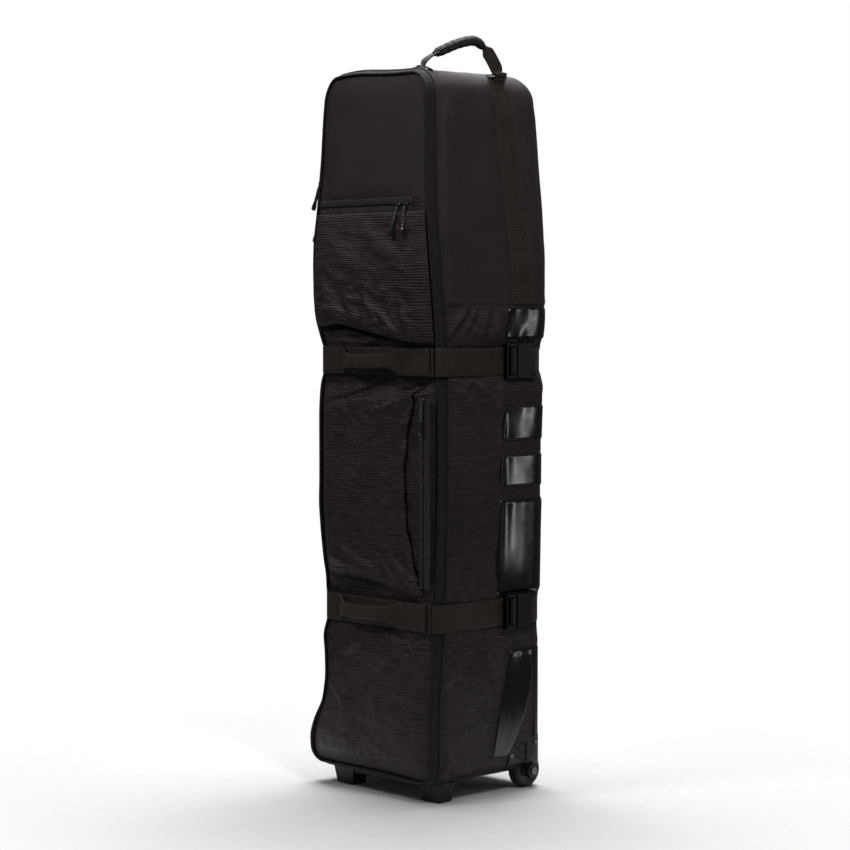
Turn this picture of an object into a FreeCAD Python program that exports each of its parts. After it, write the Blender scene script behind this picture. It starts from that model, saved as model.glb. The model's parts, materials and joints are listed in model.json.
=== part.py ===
"""Wheeled soft golf travel case: fabric shell, full-height zipped door, two compression straps
with side-release buckles, two zipped door pockets, top carry handle, two wheels and two feet.

Units are millimetres. +Z is up, the door faces -Y, the buckles are on the +X side.
The origin is on the floor, under the middle of the case and what hangs on it. Dimensions
below are measured from the middle of the body; build() moves every piece by CENTRE_Y.
"""

import FreeCAD, Part
import math
import os

V = FreeCAD.Vector

# ---------------------------------------------------------------- driving dimensions
CENTRE_Y = 9.0              # handles and pulls in front balance the body at the back
CASE_WIDTH = 310.0          # X
CASE_DEPTH = 285.0          # Y, at the top and at the foot of the case
CASE_TOP = 1300.0           # top of the body, without the carry handle
CASE_BOTTOM = 36.0          # underside of the body, above the floor
WALL = 5.0                  # padded fabric wall
TOP_CORNER_R = 48.0         # rounded corners of the front view
BOTTOM_CORNER_R = 30.0
TOP_BACK_R = 50.0
BOTTOM_BACK_R = 20.0
BACK_EDGE_R = 34.0
PANEL_SEAM_Z = 885.0        # seam between padded upper side and plain lower side

# Front surface of the door, (height, y): the straps pull the middle of the case in.
FRONT_LINE = [
    (0.0, -140.0), (150.0, -142.5), (333.0, -129.0), (560.0, -121.0),
    (785.0, -121.0), (900.0, -131.0), (1040.0, -142.5), (1400.0, -142.5),
]

DOOR_THICK = 8.0            # front surface to the zip line
DOOR_GAP = 0.3              # between door and shell along the zip line
BAND_DEPTH = 6.5            # shell half of the zip tape, front to back
PIPING = 4.0
PIPING_PROUD = 1.2
DOOR_PIPING_PROUD = 1.5
DOOR_INSET = 9.0            # door panel inside the case's outline
DOOR_TAPE_INSET = 3.0
SHELL_TAPE_INSETS = (1.5, 8.0)
FIT = 0.2                   # gap between parts that touch

BOARD_THICK = 4.0
BOARD_HALF_WIDTH = 104.0
CROWN_THICK = 18.0
BOARD_FRONT = 24.0          # from the door's front to the boards' front edge

STRAP_WIDTH = 50.0
WEB = 2.0                   # webbing thickness
UPPER_STRAP_Z = 785.0
LOWER_STRAP_Z = 333.0
STRAP_CLEAR = 1.7           # from the door's piping to the strap's webbing
STRAP_END_X = 144.0         # how far the webbing across the door reaches, both ways
ANCHOR_LENGTH = 70.0

DOOR_AXIS_Y = -CASE_DEPTH / 2 + DOOR_THICK
TAIL_AXIS_X = 149.0

BUCKLE_HALF = 31.0          # half the buckle's width, across the strap
BUCKLE_X = 159.0            # inner face of the buckle
BUCKLE_THICK = 12.0
PLUG_START_Y = 30.0
SOCKET_START_Y = 56.0
SOCKET_END_Y = 103.0
LADDER_SLOTS = (4.0, 14.0)  # from the plug's front edge
LADDER_SLOT = 6.0           # width of a slot for webbing
ARM_LENGTH = 24.0
ARM_ROOT_GAP = 2.0

WHEEL_R = 32.0
WHEEL_WIDTH = 24.0
WHEEL_X = 132.0             # middle of the wheel
WHEEL_Y = 112.0
WHEEL_CLEAR = 3.0
HUB_R = 22.0
BEARING_R = 11.0
BEARING_WIDTH = 7.0
AXLE_R = 4.0
RUNNING_CLEARANCE = 0.05
HOUSING_X = 108.0           # inner face of the wheel housing
HOUSING_Y = 48.0            # front face of the wheel housing
HOUSING_TOP = 97.0
HOUSING_PROUD = 2.5
BOLT_HEAD_R = 7.0
SCREW_PLACES = ((57.0, 67.0), (116.0, 86.0))    # y and z of the screws in a housing

ZIP_THICK = 2.5
SLIDER_LENGTH = 12.0
SLIDER_WIDTH = 8.0
SLIDER_THICK = 4.5
PULL_REACH = 6.1            # from a slider's bridge to the start of its pull
UPPER_ZIP_Z = 1062.0
UPPER_ZIP_X = (-140.0, 106.0)
POCKET_SLIDER_X = (72.0, 91.0)
MIDDLE_ZIP_X = 126.0
MIDDLE_ZIP_Z = (372.0, 735.0)
MIDDLE_SLIDER_Z = 716.0
MAIN_SLIDER_Z = (1106.0, 1048.0)
MAIN_PULL_LEAN = (22.0, 18.0)
MAIN_PULL_SIZE = (24.0, 20.0)       # length of a pull's cord and of its grip
POCKET_PULL_SIZE = (27.0, 26.0)
POCKET_PULL_LEAN = (11.0, -1.0)
MIDDLE_PULL_SIZE = (28.0, 24.0)

POCKET_LEFT_X = -138.0
UPPER_POCKET_WIDTH = 264.0
UPPER_POCKET_FORM = ((4, 1046), (9, 1000), (17, 955), (20, 910))   # stand-out and z
MIDDLE_POCKET_WIDTH = 268.0
MIDDLE_POCKET_OUT = 7.0

GRAB_THICK = 3.0
GRAB_BOW = 17.0
GRAB_NARROW_HALF = 12.5
GRAB_NARROW_X = (-90.0, 58.0)

SIDE_STRAP_TOP_Y = 36.0
SIDE_STRAP_FOOT_Y = 70.0
GUARD_THICK = 0.9
GUARD_FRONT_Y = 40.0
GUARD_HEIGHTS = ((828, 880), (644, 704), (560, 616), (364, 536))
RAIL_PROUD = 4.5
RAIL_Y = (112.0, 124.0)
LOW_GUARD_TOP = 262.0

FOOT_TOP = (86.0, 143.0, -113.0, -72.0)     # x and y limits where it meets the case
FOOT_SOLE = (93.0, 136.0, -109.0, -78.0)
BASE_RAIL = (85.0, -112.0, -98.0, 12.0)     # half length, y limits and height

HANDLE_FRONT = (104.0, -117.0)
HANDLE_REAR = (141.0, 36.0)
HANDLE_AXIS_Z = 1305.0
HANDLE_RISE = 50.0
FOLDED_HALF = 7.0           # half the width of the webbing folded inside the grip


# ---------------------------------------------------------------- helpers
def box(low, high):
    """A box between two corners."""
    size = [b - a for a, b in zip(low, high)]
    return Part.makeBox(*size, V(*low))


def cylinder_x(radius, x_low, x_high, y, z):
    return Part.makeCylinder(radius, x_high - x_low, V(x_low, y, z), V(1, 0, 0))


def polygon_face(points):
    return Part.Face(Part.makePolygon([V(*p) for p in points] + [V(*points[0])]))


def rounded_outline(half, low, high, r_low, r_high, point):
    """Face of a rounded rectangle: half its width, its low and high sides, corner radii."""
    edges = []
    corners = [
        (half - r_low, low + r_low, r_low, -90), (half - r_high, high - r_high, r_high, 0),
        (-half + r_high, high - r_high, r_high, 90), (-half + r_low, low + r_low, r_low, 180),
    ]
    last, first = None, None
    for centre_u, centre_v, radius, start in corners:
        arc = []
        for turn in (0, 45, 90):
            angle = math.radians(start + turn)
            arc.append(V(*point(centre_u + radius * math.cos(angle),
                                centre_v + radius * math.sin(angle))))
        if last is not None:
            edges.append(Part.LineSegment(last, arc[0]).toShape())
        else:
            first = arc[0]
        edges.append(Part.Arc(*arc).toShape())
        last = arc[2]
    edges.append(Part.LineSegment(last, first).toShape())
    return Part.Face(Part.Wire(edges))


def front_outline(inset, y_low, y_high):
    """The case seen from the front, shrunk by inset, as a solid between two depths."""
    face = rounded_outline(
        CASE_WIDTH / 2 - inset, CASE_BOTTOM + inset, CASE_TOP - inset,
        BOTTOM_CORNER_R - inset, TOP_CORNER_R - inset,
        lambda u, v: (u, y_low, v))
    return face.extrude(V(0, y_high - y_low, 0))


def side_outline(inset):
    """The case seen from the side: square at the front, rounded at the back corners."""
    front, back = -CASE_DEPTH, CASE_DEPTH / 2 - inset
    low, high = CASE_BOTTOM + inset, CASE_TOP - inset
    r_low, r_high = BOTTOM_BACK_R - inset, TOP_BACK_R - inset
    x = -CASE_WIDTH

    def arc(centre_y, centre_z, radius, start):
        points = []
        for turn in (0, 45, 90):
            angle = math.radians(start + turn)
            points.append(V(x, centre_y + radius * math.cos(angle),
                            centre_z + radius * math.sin(angle)))
        return Part.Arc(*points).toShape()

    def line(a, b):
        return Part.LineSegment(V(x, *a), V(x, *b)).toShape()

    edges = [
        line((front, low), (back - r_low, low)),
        arc(back - r_low, low + r_low, r_low, -90),
        line((back, low + r_low), (back, high - r_high)),
        arc(back - r_high, high - r_high, r_high, 0),
        line((back - r_high, high), (front, high)),
        line((front, high), (front, low)),
    ]
    return Part.Face(Part.Wire(edges)).extrude(V(2 * CASE_WIDTH, 0, 0))


def plan_outline(inset):
    """The case seen from above: square at the front, rounded back edges."""
    radius = BACK_EDGE_R - inset
    face = rounded_outline(CASE_WIDTH / 2 - inset, -CASE_DEPTH, CASE_DEPTH / 2 - inset,
                           radius, radius, lambda u, v: (u, v, 0))
    return face.extrude(V(0, 0, CASE_TOP + 100))


def outer_form(inset):
    """The whole case as one rounded block, shrunk by inset (grown where inset is negative)."""
    depth = CASE_DEPTH
    return front_outline(inset, -depth, depth).common(side_outline(inset)).common(
        plan_outline(inset))


def in_front_of(shift):
    """Everything in front of the door's front surface moved back by shift."""
    points = [(-CASE_WIDTH, y + shift, z) for z, y in FRONT_LINE]
    points += [(-CASE_WIDTH, -CASE_DEPTH, FRONT_LINE[-1][0]), (-CASE_WIDTH, -CASE_DEPTH, 0)]
    return polygon_face(points).extrude(V(2 * CASE_WIDTH, 0, 0))


def front_at(z):
    """The y of the door's front surface at a height."""
    for (z0, y0), (z1, y1) in zip(FRONT_LINE, FRONT_LINE[1:]):
        if z0 <= z <= z1:
            return y0 + (y1 - y0) * (z - z0) / (z1 - z0)
    raise ValueError(z)


def layer(shift_front, shift_back):
    """The slice between two surfaces parallel to the door's front."""
    return in_front_of(shift_back).cut(in_front_of(shift_front))


def edge_ring(outer_inset, inner_inset, shift_front, shift_back):
    """A band that follows the case's outline, between two insets and two depths."""
    depth = CASE_DEPTH
    ring = front_outline(outer_inset, -depth, 0).cut(front_outline(inner_inset, -depth, 0))
    return ring.common(layer(shift_front, shift_back))


def mirrored(shape):
    return shape.mirror(V(0, 0, 0), V(1, 0, 0))


def pair(shape):
    """A right-hand piece and its left-hand mirror image, as one group."""
    return Part.makeCompound([shape, mirrored(shape)])


def band(points, thick, z_low, z_high):
    """A strip standing on edge: an open line in plan, thickened and extruded upward."""
    left, right = [], []
    for i, (x, y) in enumerate(points):
        ahead = points[min(i + 1, len(points) - 1)]
        behind = points[max(i - 1, 0)]
        dx, dy = ahead[0] - behind[0], ahead[1] - behind[1]
        length = math.hypot(dx, dy)
        nx, ny = -dy / length * thick / 2, dx / length * thick / 2
        left.append((x + nx, y + ny, z_low))
        right.append((x - nx, y - ny, z_low))
    return polygon_face(left + right[::-1]).extrude(V(0, 0, z_high - z_low))


# ---------------------------------------------------------------- shell
def shell_parts():
    """The fabric shell, cut into its sewn panels."""
    back_of_zip = DOOR_THICK + DOOR_GAP + BAND_DEPTH
    walls = outer_form(0).cut(outer_form(WALL)).cut(in_front_of(back_of_zip))
    walls = walls.cut(shell_piping()).cut(housing_envelope(1)).cut(housing_envelope(-1))
    nut_room = cylinder_x(BOLT_HEAD_R + 1, HOUSING_X - 5, HOUSING_X + 1, WHEEL_Y, WHEEL_R)
    walls = walls.cut(pair(nut_room))
    half, depth = CASE_WIDTH / 2 + 1, CASE_DEPTH / 2 + 1
    side_x = CASE_WIDTH / 2 - BACK_EDGE_R
    top_z, bottom_z = CASE_TOP - TOP_BACK_R, CASE_BOTTOM + BOTTOM_CORNER_R
    zones = {
        "top_panel": box((-half, -depth, top_z), (half, depth, CASE_TOP + 1)),
        "bottom_panel": box((-half, -depth, 0), (half, depth, bottom_z)),
        "back_panel": box((-side_x, 0, bottom_z), (side_x, depth, top_z)),
        "right_side_upper": box((side_x, -depth, PANEL_SEAM_Z), (half, depth, top_z)),
        "right_side_lower": box((side_x, -depth, bottom_z), (half, depth, PANEL_SEAM_Z)),
        "left_side_upper": box((-half, -depth, PANEL_SEAM_Z), (-side_x, depth, top_z)),
        "left_side_lower": box((-half, -depth, bottom_z), (-side_x, depth, PANEL_SEAM_Z)),
    }
    return {name: walls.common(zone) for name, zone in zones.items()}


def shell_piping():
    """Piping cord sewn round the mouth of the shell."""
    start = DOOR_THICK + DOOR_GAP + BAND_DEPTH
    return edge_ring(-PIPING_PROUD, PIPING - PIPING_PROUD, start, start + PIPING)


def shell_zip():
    """The shell's half of the main zip."""
    start = DOOR_THICK + DOOR_GAP
    return edge_ring(*SHELL_TAPE_INSETS, start, start + BAND_DEPTH)


def inner_boards():
    """Stiffening boards and the padded crown inside the shell."""
    inner = outer_form(WALL + FIT)
    floor_z = CASE_BOTTOM + WALL + FIT
    base = inner.common(box((-HOUSING_X + 1, front_at(floor_z) + BOARD_FRONT, floor_z),
                            (HOUSING_X - 1, 130, floor_z + BOARD_THICK)))
    back_y = CASE_DEPTH / 2 - WALL - FIT
    back = inner.common(box((-BOARD_HALF_WIDTH, back_y - BOARD_THICK, 70),
                            (BOARD_HALF_WIDTH, back_y, CASE_TOP - 60)))
    crown_z = CASE_TOP - WALL - FIT
    crown = inner.common(box((-CASE_WIDTH, front_at(crown_z) + BOARD_FRONT,
                              crown_z - CROWN_THICK), (CASE_WIDTH, CASE_DEPTH / 2, crown_z)))
    return {"base_board": base, "back_board": back, "crown_foam": crown}


# ---------------------------------------------------------------- door
def door_parts():
    panel = front_outline(DOOR_INSET, -CASE_DEPTH, 0).common(layer(0, DOOR_THICK))
    piping = edge_ring(DOOR_INSET - PIPING, DOOR_INSET, -DOOR_PIPING_PROUD,
                       PIPING - DOOR_PIPING_PROUD)
    tape = edge_ring(DOOR_TAPE_INSET, DOOR_INSET, PIPING - DOOR_PIPING_PROUD, DOOR_THICK)
    return {"door_panel": panel, "door_piping": piping, "door_zip_tape": tape}


def upper_pocket():
    """The padded upper pocket: hangs below its zip and bulges towards its foot."""
    top = UPPER_POCKET_FORM[0][1]
    y = front_at(top) - FIT
    profile = [(y, top)] + [(y - out, z) for out, z in UPPER_POCKET_FORM]
    profile += [(y - 11, 868), (front_at(840) - 1, 840)]
    profile += [(front_at(z) - FIT, z) for z in (860, 900, 1040)]
    face = polygon_face([(POCKET_LEFT_X, *point) for point in profile])
    return face.extrude(V(UPPER_POCKET_WIDTH, 0, 0))


def middle_pocket():
    """The flat middle pocket, between the two straps."""
    front = front_at(MIDDLE_ZIP_Z[0]) - MIDDLE_POCKET_OUT
    low, high = MIDDLE_ZIP_Z[0] - 4, MIDDLE_ZIP_Z[1] + 4
    profile = [(front_at(low) - FIT, low), (front, low + 12), (front, high - 12),
               (front_at(high) - FIT, high), (front_at(560) - FIT, 560)]
    face = polygon_face([(POCKET_LEFT_X, *point) for point in profile])
    return face.extrude(V(MIDDLE_POCKET_WIDTH, 0, 0))


def pocket_zips():
    """The two pocket zips: a horizontal one and a vertical one."""
    upper_y = upper_zip_face()
    upper = box((UPPER_ZIP_X[0], upper_y, UPPER_ZIP_Z - 12),
                (UPPER_ZIP_X[1], upper_y + ZIP_THICK, UPPER_ZIP_Z + 8))
    middle_y = middle_zip_face()
    middle = box((MIDDLE_ZIP_X - 8, middle_y, MIDDLE_ZIP_Z[0] + 10),
                 (MIDDLE_ZIP_X + 8, middle_y + 2.2, MIDDLE_ZIP_Z[1] - 10))
    return Part.makeCompound([upper, middle])


def upper_zip_face():
    """The y of the front face of the upper pocket's zip."""
    return front_at(UPPER_ZIP_Z) - FIT - ZIP_THICK


def middle_zip_face():
    """The y of the front face of the middle pocket's zip."""
    return front_at(MIDDLE_ZIP_Z[0]) - MIDDLE_POCKET_OUT - ZIP_THICK


def front_strap(z):
    """Webbing sewn across the door."""
    y = front_at(z)
    tilt = front_at(z + STRAP_WIDTH / 2) - front_at(z - STRAP_WIDTH / 2)
    y -= abs(tilt) / 2 + DOOR_PIPING_PROUD + STRAP_CLEAR
    return box((-STRAP_END_X, y - WEB, z - STRAP_WIDTH / 2),
               (STRAP_END_X, y, z + STRAP_WIDTH / 2))


def strap_face(z):
    """The y of the front face of the webbing across the door."""
    return front_strap(z).BoundBox.YMin


def grab_handle(z):
    """Folded webbing, sewn at both ends and bowed off the strap between them."""
    y = strap_face(z) - FIT - GRAB_THICK / 2
    bow = GRAB_BOW
    line = [(-112, y), (-92, y), (-78, y - 0.55 * bow), (-60, y - bow), (-20, y - bow - 2),
            (20, y - bow), (44, y - 0.5 * bow), (62, y), (132, y)]
    strip = band(line, GRAB_THICK, z - STRAP_WIDTH / 2, z + STRAP_WIDTH / 2)
    start, end = GRAB_NARROW_X
    above = box((start, y - 2 * GRAB_BOW, z + GRAB_NARROW_HALF), (end, y + 10, z + STRAP_WIDTH))
    below = box((start, y - 2 * GRAB_BOW, z - STRAP_WIDTH), (end, y + 10, z - GRAB_NARROW_HALF))
    return strip.cut(above).cut(below)


# ---------------------------------------------------------------- strap tails and buckles
def tail_webbing(z):
    """Webbing from the door's edge, round the corner and through the buckle plug."""
    y = strap_face(z) + WEB / 2
    side = BUCKLE_X - 1.5
    line = [(TAIL_AXIS_X, y), (152.5, y), (155.6, y + 2.5), (side, y + 9),
            (side, PLUG_START_Y + LADDER_SLOTS[1] + LADDER_SLOT)]
    return band(line, WEB, z - STRAP_WIDTH / 2, z + STRAP_WIDTH / 2)


def buckle_plug(z):
    """The ladder-lock frame of the buckle with its middle guide prong."""
    x0, x1 = BUCKLE_X, BUCKLE_X + BUCKLE_THICK - 2
    frame = box((x0, PLUG_START_Y, z - BUCKLE_HALF), (x1, SOCKET_START_Y - 1, z + BUCKLE_HALF))
    for start in LADDER_SLOTS:
        slot_y = PLUG_START_Y + start
        frame = frame.cut(box((x0 - 1, slot_y, z - 26), (x1 + 1, slot_y + LADDER_SLOT, z + 26)))
    prong = box((x0 + 2, SOCKET_START_Y - 1, z - 4.5),
                (x1 - 2, SOCKET_START_Y + ARM_LENGTH, z + 4.5))
    return frame.fuse(prong).removeSplitter()


def buckle_arm(z, side):
    """A springy arm of the plug with its latch; side is +1 for the upper one."""
    x0, x1 = BUCKLE_X + 2, BUCKLE_X + BUCKLE_THICK - 4
    root = SOCKET_START_Y - 1 + ARM_ROOT_GAP
    tip = root + ARM_LENGTH
    outline = [(root, 12), (tip - 4, 12), (tip, 17), (tip, 24), (tip - 6, 30.5),
               (tip - 14, 30.5), (tip - 14, 25), (root, 22)]
    points = [(x0, y, z + side * out) for y, out in outline]
    return polygon_face(points).extrude(V(x1 - x0, 0, 0))


def buckle_socket(z):
    """The hollow half of the buckle, with side windows for the latches and a webbing bar."""
    x0, x1 = BUCKLE_X - 0.5, BUCKLE_X - 0.5 + BUCKLE_THICK
    start, end = SOCKET_START_Y, SOCKET_END_Y
    body = box((x0, start, z - BUCKLE_HALF), (x1, end, z + BUCKLE_HALF))
    cavity_end = start + ARM_LENGTH + 6
    body = body.cut(box((x0 + 2, start - 1, z - 27), (x1 - 3, cavity_end, z + 27)))
    for side in (-1, 1):
        inner, outer = sorted((z + side * 26, z + side * (BUCKLE_HALF + 1)))
        window_start = start - 0.5 + ARM_ROOT_GAP + ARM_LENGTH - 15.5
        body = body.cut(box((x0 + 1.5, window_start, inner), (x1 - 2.5, cavity_end, outer)))
    slot = box((x0 - 1, end - 5 - LADDER_SLOT, z - 26), (x1 + 1, end - 5, z + 26))
    return body.cut(slot)


def buckle_tab(z):
    """Webbing tab that holds the socket to the case's back edge."""
    side = CASE_WIDTH / 2 + 0.2
    return box((side, SOCKET_START_Y + 4, z - STRAP_WIDTH / 2),
               (side + 1.8, CASE_DEPTH / 2 - BACK_EDGE_R + 12, z + STRAP_WIDTH / 2)
               ).cut(outer_form(-0.1))


def strap_anchor(z):
    """The left-hand end of a strap, sewn to the side of the case."""
    start = front_at(z) + DOOR_THICK + BAND_DEPTH + PIPING + 2
    low, high = z - STRAP_WIDTH / 2, z + STRAP_WIDTH / 2
    left = -CASE_WIDTH / 2
    return box((left - WEB - FIT, start, low), (left - FIT, start + ANCHOR_LENGTH, high))


# ---------------------------------------------------------------- side straps and guards
def side_strap():
    """Carry webbing down the side, from the top edge to the panel seam."""
    skin = outer_form(-WEB).cut(outer_form(-0.1))
    top_y, foot_y, half = SIDE_STRAP_TOP_Y, SIDE_STRAP_FOOT_Y, STRAP_WIDTH / 2
    outline = [(90, foot_y - half, PANEL_SEAM_Z), (90, foot_y + half, PANEL_SEAM_Z),
               (90, top_y + half, CASE_TOP + 10), (90, top_y - half, CASE_TOP + 10)]
    prism = polygon_face(outline).extrude(V(100, 0, 0))
    return skin.common(prism).common(box((132, -200, 0), (200, 200, CASE_TOP + 10)))


def side_guards():
    """Glossy coated wear panels along the back edge and on the top back corner."""
    skin = outer_form(-GUARD_THICK).cut(outer_form(-0.1))
    pieces = [box((100, GUARD_FRONT_Y, low), (200, 200, high)) for low, high in GUARD_HEIGHTS]
    pieces.append(box((100, 16, HOUSING_TOP + 2), (200, 108, LOW_GUARD_TOP)))
    pieces.append(box((112, 92, CASE_TOP - 62), (200, 200, CASE_TOP + 5)))
    clear = buckle_tab(UPPER_STRAP_Z).fuse(buckle_tab(LOWER_STRAP_Z))
    shapes = [skin.common(piece).cut(clear) for piece in pieces]
    return Part.makeCompound(shapes + [mirrored(shape) for shape in shapes])


def skid_rails():
    """Moulded rails that guard the back edges above the wheels."""
    skin = outer_form(-RAIL_PROUD).cut(outer_form(-0.1))
    return pair(skin.common(box((140, RAIL_Y[0], HOUSING_TOP + FIT),
                                (200, RAIL_Y[1], LOW_GUARD_TOP))))


# ---------------------------------------------------------------- wheels and feet
def housing_envelope(side):
    """The space that a wheel housing takes at a back corner."""
    region = box((HOUSING_X, HOUSING_Y, 0), (CASE_WIDTH, CASE_DEPTH, HOUSING_TOP))
    form = outer_form(-HOUSING_PROUD).common(region)
    return form if side > 0 else mirrored(form)


def wheel_housing():
    """Moulded corner with a wheel well, two cheeks and stiffening ribs."""
    form = housing_envelope(1)
    well_low = WHEEL_X - WHEEL_WIDTH / 2 - WHEEL_CLEAR
    well_high = WHEEL_X + WHEEL_WIDTH / 2 + WHEEL_CLEAR
    well_r = WHEEL_R + WHEEL_CLEAR + 1
    lobe_low, lobe_high = well_high, CASE_WIDTH / 2 + HOUSING_PROUD - 0.5
    lobe = cylinder_x(13, lobe_low, lobe_high, WHEEL_Y, WHEEL_R)
    inner_lobe = cylinder_x(13, HOUSING_X, well_low, WHEEL_Y, WHEEL_R)
    form = form.cut(cylinder_x(well_r, well_low, well_high, WHEEL_Y, WHEEL_R))
    opening = box((well_low, WHEEL_Y - well_r, 0), (well_high, CASE_DEPTH, WHEEL_R))
    form = form.cut(opening).fuse(lobe).fuse(inner_lobe)
    cut_back = outer_form(-HOUSING_PROUD).cut(outer_form(-HOUSING_PROUD + 2.5))
    panel = box((lobe_low, HOUSING_Y + 3, CASE_BOTTOM + 8),
                (CASE_WIDTH, WHEEL_Y - 18, HOUSING_TOP - 8))
    form = form.cut(cut_back.common(panel))
    form = form.cut(cylinder_x(AXLE_R + 0.1, HOUSING_X - 1, CASE_WIDTH, WHEEL_Y, WHEEL_R))
    for y, z in SCREW_PLACES:
        form = form.cut(cylinder_x(2.2, lobe_low + 1, CASE_WIDTH, y, z))
    return form.removeSplitter()


def housing_screws():
    """Screws that hold the wheel housings to the shell."""
    face = CASE_WIDTH / 2 + HOUSING_PROUD
    shapes = []
    for y, z in SCREW_PLACES:
        inset = 2.5 if y < WHEEL_Y - 18 else 0.0
        head = cylinder_x(4.0, face - inset, face - inset + 1.6, y, z)
        shank = cylinder_x(2.0, WHEEL_X + WHEEL_WIDTH / 2 + WHEEL_CLEAR + 2,
                           face - inset, y, z)
        shapes.append(head.fuse(shank))
    return Part.makeCompound(shapes + [mirrored(shape) for shape in shapes])


def axles():
    """Axle bolts of the two wheels."""
    low, high = HOUSING_X - 4, CASE_WIDTH / 2 + HOUSING_PROUD - 0.5
    bolt = cylinder_x(AXLE_R, low, high, WHEEL_Y, WHEEL_R)
    head = cylinder_x(BOLT_HEAD_R, high, high + 3, WHEEL_Y, WHEEL_R)
    nut = cylinder_x(BOLT_HEAD_R, low, low + 4 - 0.1, WHEEL_Y, WHEEL_R)
    return pair(bolt.fuse(head).fuse(nut).removeSplitter())


def wheel_parts():
    """One in-line wheel: rounded tyre, ribbed hub and two ball bearings."""
    low, high = WHEEL_X - WHEEL_WIDTH / 2, WHEEL_X + WHEEL_WIDTH / 2
    tyre = cylinder_x(WHEEL_R, low, high, WHEEL_Y, WHEEL_R)
    rims = [edge for edge in tyre.Edges if edge.BoundBox.XLength < 0.001]
    tyre = tyre.makeFillet(7.0, rims)
    tyre = tyre.cut(cylinder_x(HUB_R, low - 1, high + 1, WHEEL_Y, WHEEL_R))
    hub = cylinder_x(HUB_R, low + 2, high - 2, WHEEL_Y, WHEEL_R)
    for face_low, face_high in ((low + 1, low + 6), (high - 6, high - 1)):
        dish = cylinder_x(HUB_R - 4, face_low, face_high, WHEEL_Y, WHEEL_R)
        hub = hub.cut(dish.cut(cylinder_x(BEARING_R + 2, face_low, face_high,
                                          WHEEL_Y, WHEEL_R)))
    hub = hub.cut(cylinder_x(BEARING_R, low + 1, low + 2 + BEARING_WIDTH, WHEEL_Y, WHEEL_R))
    hub = hub.cut(cylinder_x(BEARING_R, high - 2 - BEARING_WIDTH, high - 1, WHEEL_Y, WHEEL_R))
    hub = hub.cut(cylinder_x(BEARING_R - 3, low, high, WHEEL_Y, WHEEL_R))
    bearings = []
    for start in (low + 2, high - 2 - BEARING_WIDTH):
        ring = cylinder_x(BEARING_R, start, start + BEARING_WIDTH, WHEEL_Y, WHEEL_R)
        bore = cylinder_x(AXLE_R + RUNNING_CLEARANCE, start - 1, start + BEARING_WIDTH + 1,
                          WHEEL_Y, WHEEL_R)
        bearings.append(ring.cut(bore))
    return {"tyre": tyre, "hub": hub, "bearings": Part.makeCompound(bearings)}


def front_foot():
    """A tapered foot block under a front corner."""
    wires = []
    for (x0, x1, y0, y1), z in ((FOOT_SOLE, 0), (FOOT_TOP, CASE_BOTTOM)):
        ring = [V(x0, y0, z), V(x1, y0, z), V(x1, y1, z), V(x0, y1, z)]
        wires.append(Part.makePolygon(ring + ring[:1]))
    return Part.makeLoft(wires, True, True)


def base_rail():
    """Rail under the front edge, between the feet."""
    half, front, back, height = BASE_RAIL
    return box((-half, front, CASE_BOTTOM - height), (half, back, CASE_BOTTOM))


# ---------------------------------------------------------------- zip sliders and pulls
def front_slider(x, z, face_y, upright):
    """A slider on a zip that faces the front; upright where it travels up and down."""
    half_x, half_z = SLIDER_LENGTH / 2, SLIDER_WIDTH / 2
    if upright:
        half_x, half_z = half_z, half_x
    back = face_y - 0.3
    plate = box((x - half_x, back - 2.2, z - half_z), (x + half_x, back, z + half_z))
    bridge = box((x - 1.8, back - SLIDER_THICK, z - 3.5), (x + 1.8, back - 2.2, z + 3.5))
    return plate.fuse(bridge).removeSplitter()


def hanging_pull(pivot, out, lean, size):
    """A cord pull with a moulded grip that hangs from a slider's bridge at pivot.

    out tips it away from the front of the case and lean towards -X, both in degrees.
    """
    start = -PULL_REACH
    cord_length, grip_length = size
    cord = Part.makeCylinder(2.0, cord_length, V(0, 0, start), V(0, 0, -1))
    grip = Part.makeCone(2.6, 4.0, grip_length, V(0, 0, start - cord_length), V(0, 0, -1))
    pull = cord.fuse(grip)
    pull.rotate(V(0, 0, 0), V(0, 1, 0), lean)
    pull.rotate(V(0, 0, 0), V(1, 0, 0), -out)
    pull.translate(V(*pivot))
    return pull


def front_pivot(x, z, face_y):
    """Where a pull hangs on a slider that faces the front."""
    return (x, face_y - 0.3 - (2.2 + SLIDER_THICK) / 2, z)


def side_pivot(z):
    """Where a pull hangs on a slider of the main zip."""
    x, y = main_slider_place()
    return (x - (2.2 + SLIDER_THICK) / 2, y, z)


def side_slider(z):
    """A slider of the main zip, on the left-hand edge of the case."""
    x, y = main_slider_place()
    plate = box((x - 2.2, y - 4.5, z - SLIDER_LENGTH / 2), (x, y + 4.5, z + SLIDER_LENGTH / 2))
    bridge = box((x - SLIDER_THICK, y - 1.8, z - 3.5), (x - 2.2, y + 1.8, z + 3.5))
    return plate.fuse(bridge).removeSplitter()


def main_slider_place():
    """The x and y of the main zip's sliders: outer face of the zip, just behind the door."""
    return -CASE_WIDTH / 2 - PIPING_PROUD - 0.4, DOOR_AXIS_Y + 5.5


# ---------------------------------------------------------------- top carry handle
def handle_frame():
    """Length and direction of the line between the handle's sewn ends."""
    dx, dy = HANDLE_REAR[0] - HANDLE_FRONT[0], HANDLE_REAR[1] - HANDLE_FRONT[1]
    return math.hypot(dx, dy), math.degrees(math.atan2(dy, dx))


def placed_handle(shape):
    """Moves a shape drawn along +X from the origin onto the handle's line."""
    shape.rotate(V(0, 0, 0), V(0, 0, 1), handle_frame()[1])
    shape.translate(V(HANDLE_FRONT[0], HANDLE_FRONT[1], HANDLE_AXIS_Z))
    return shape


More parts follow.
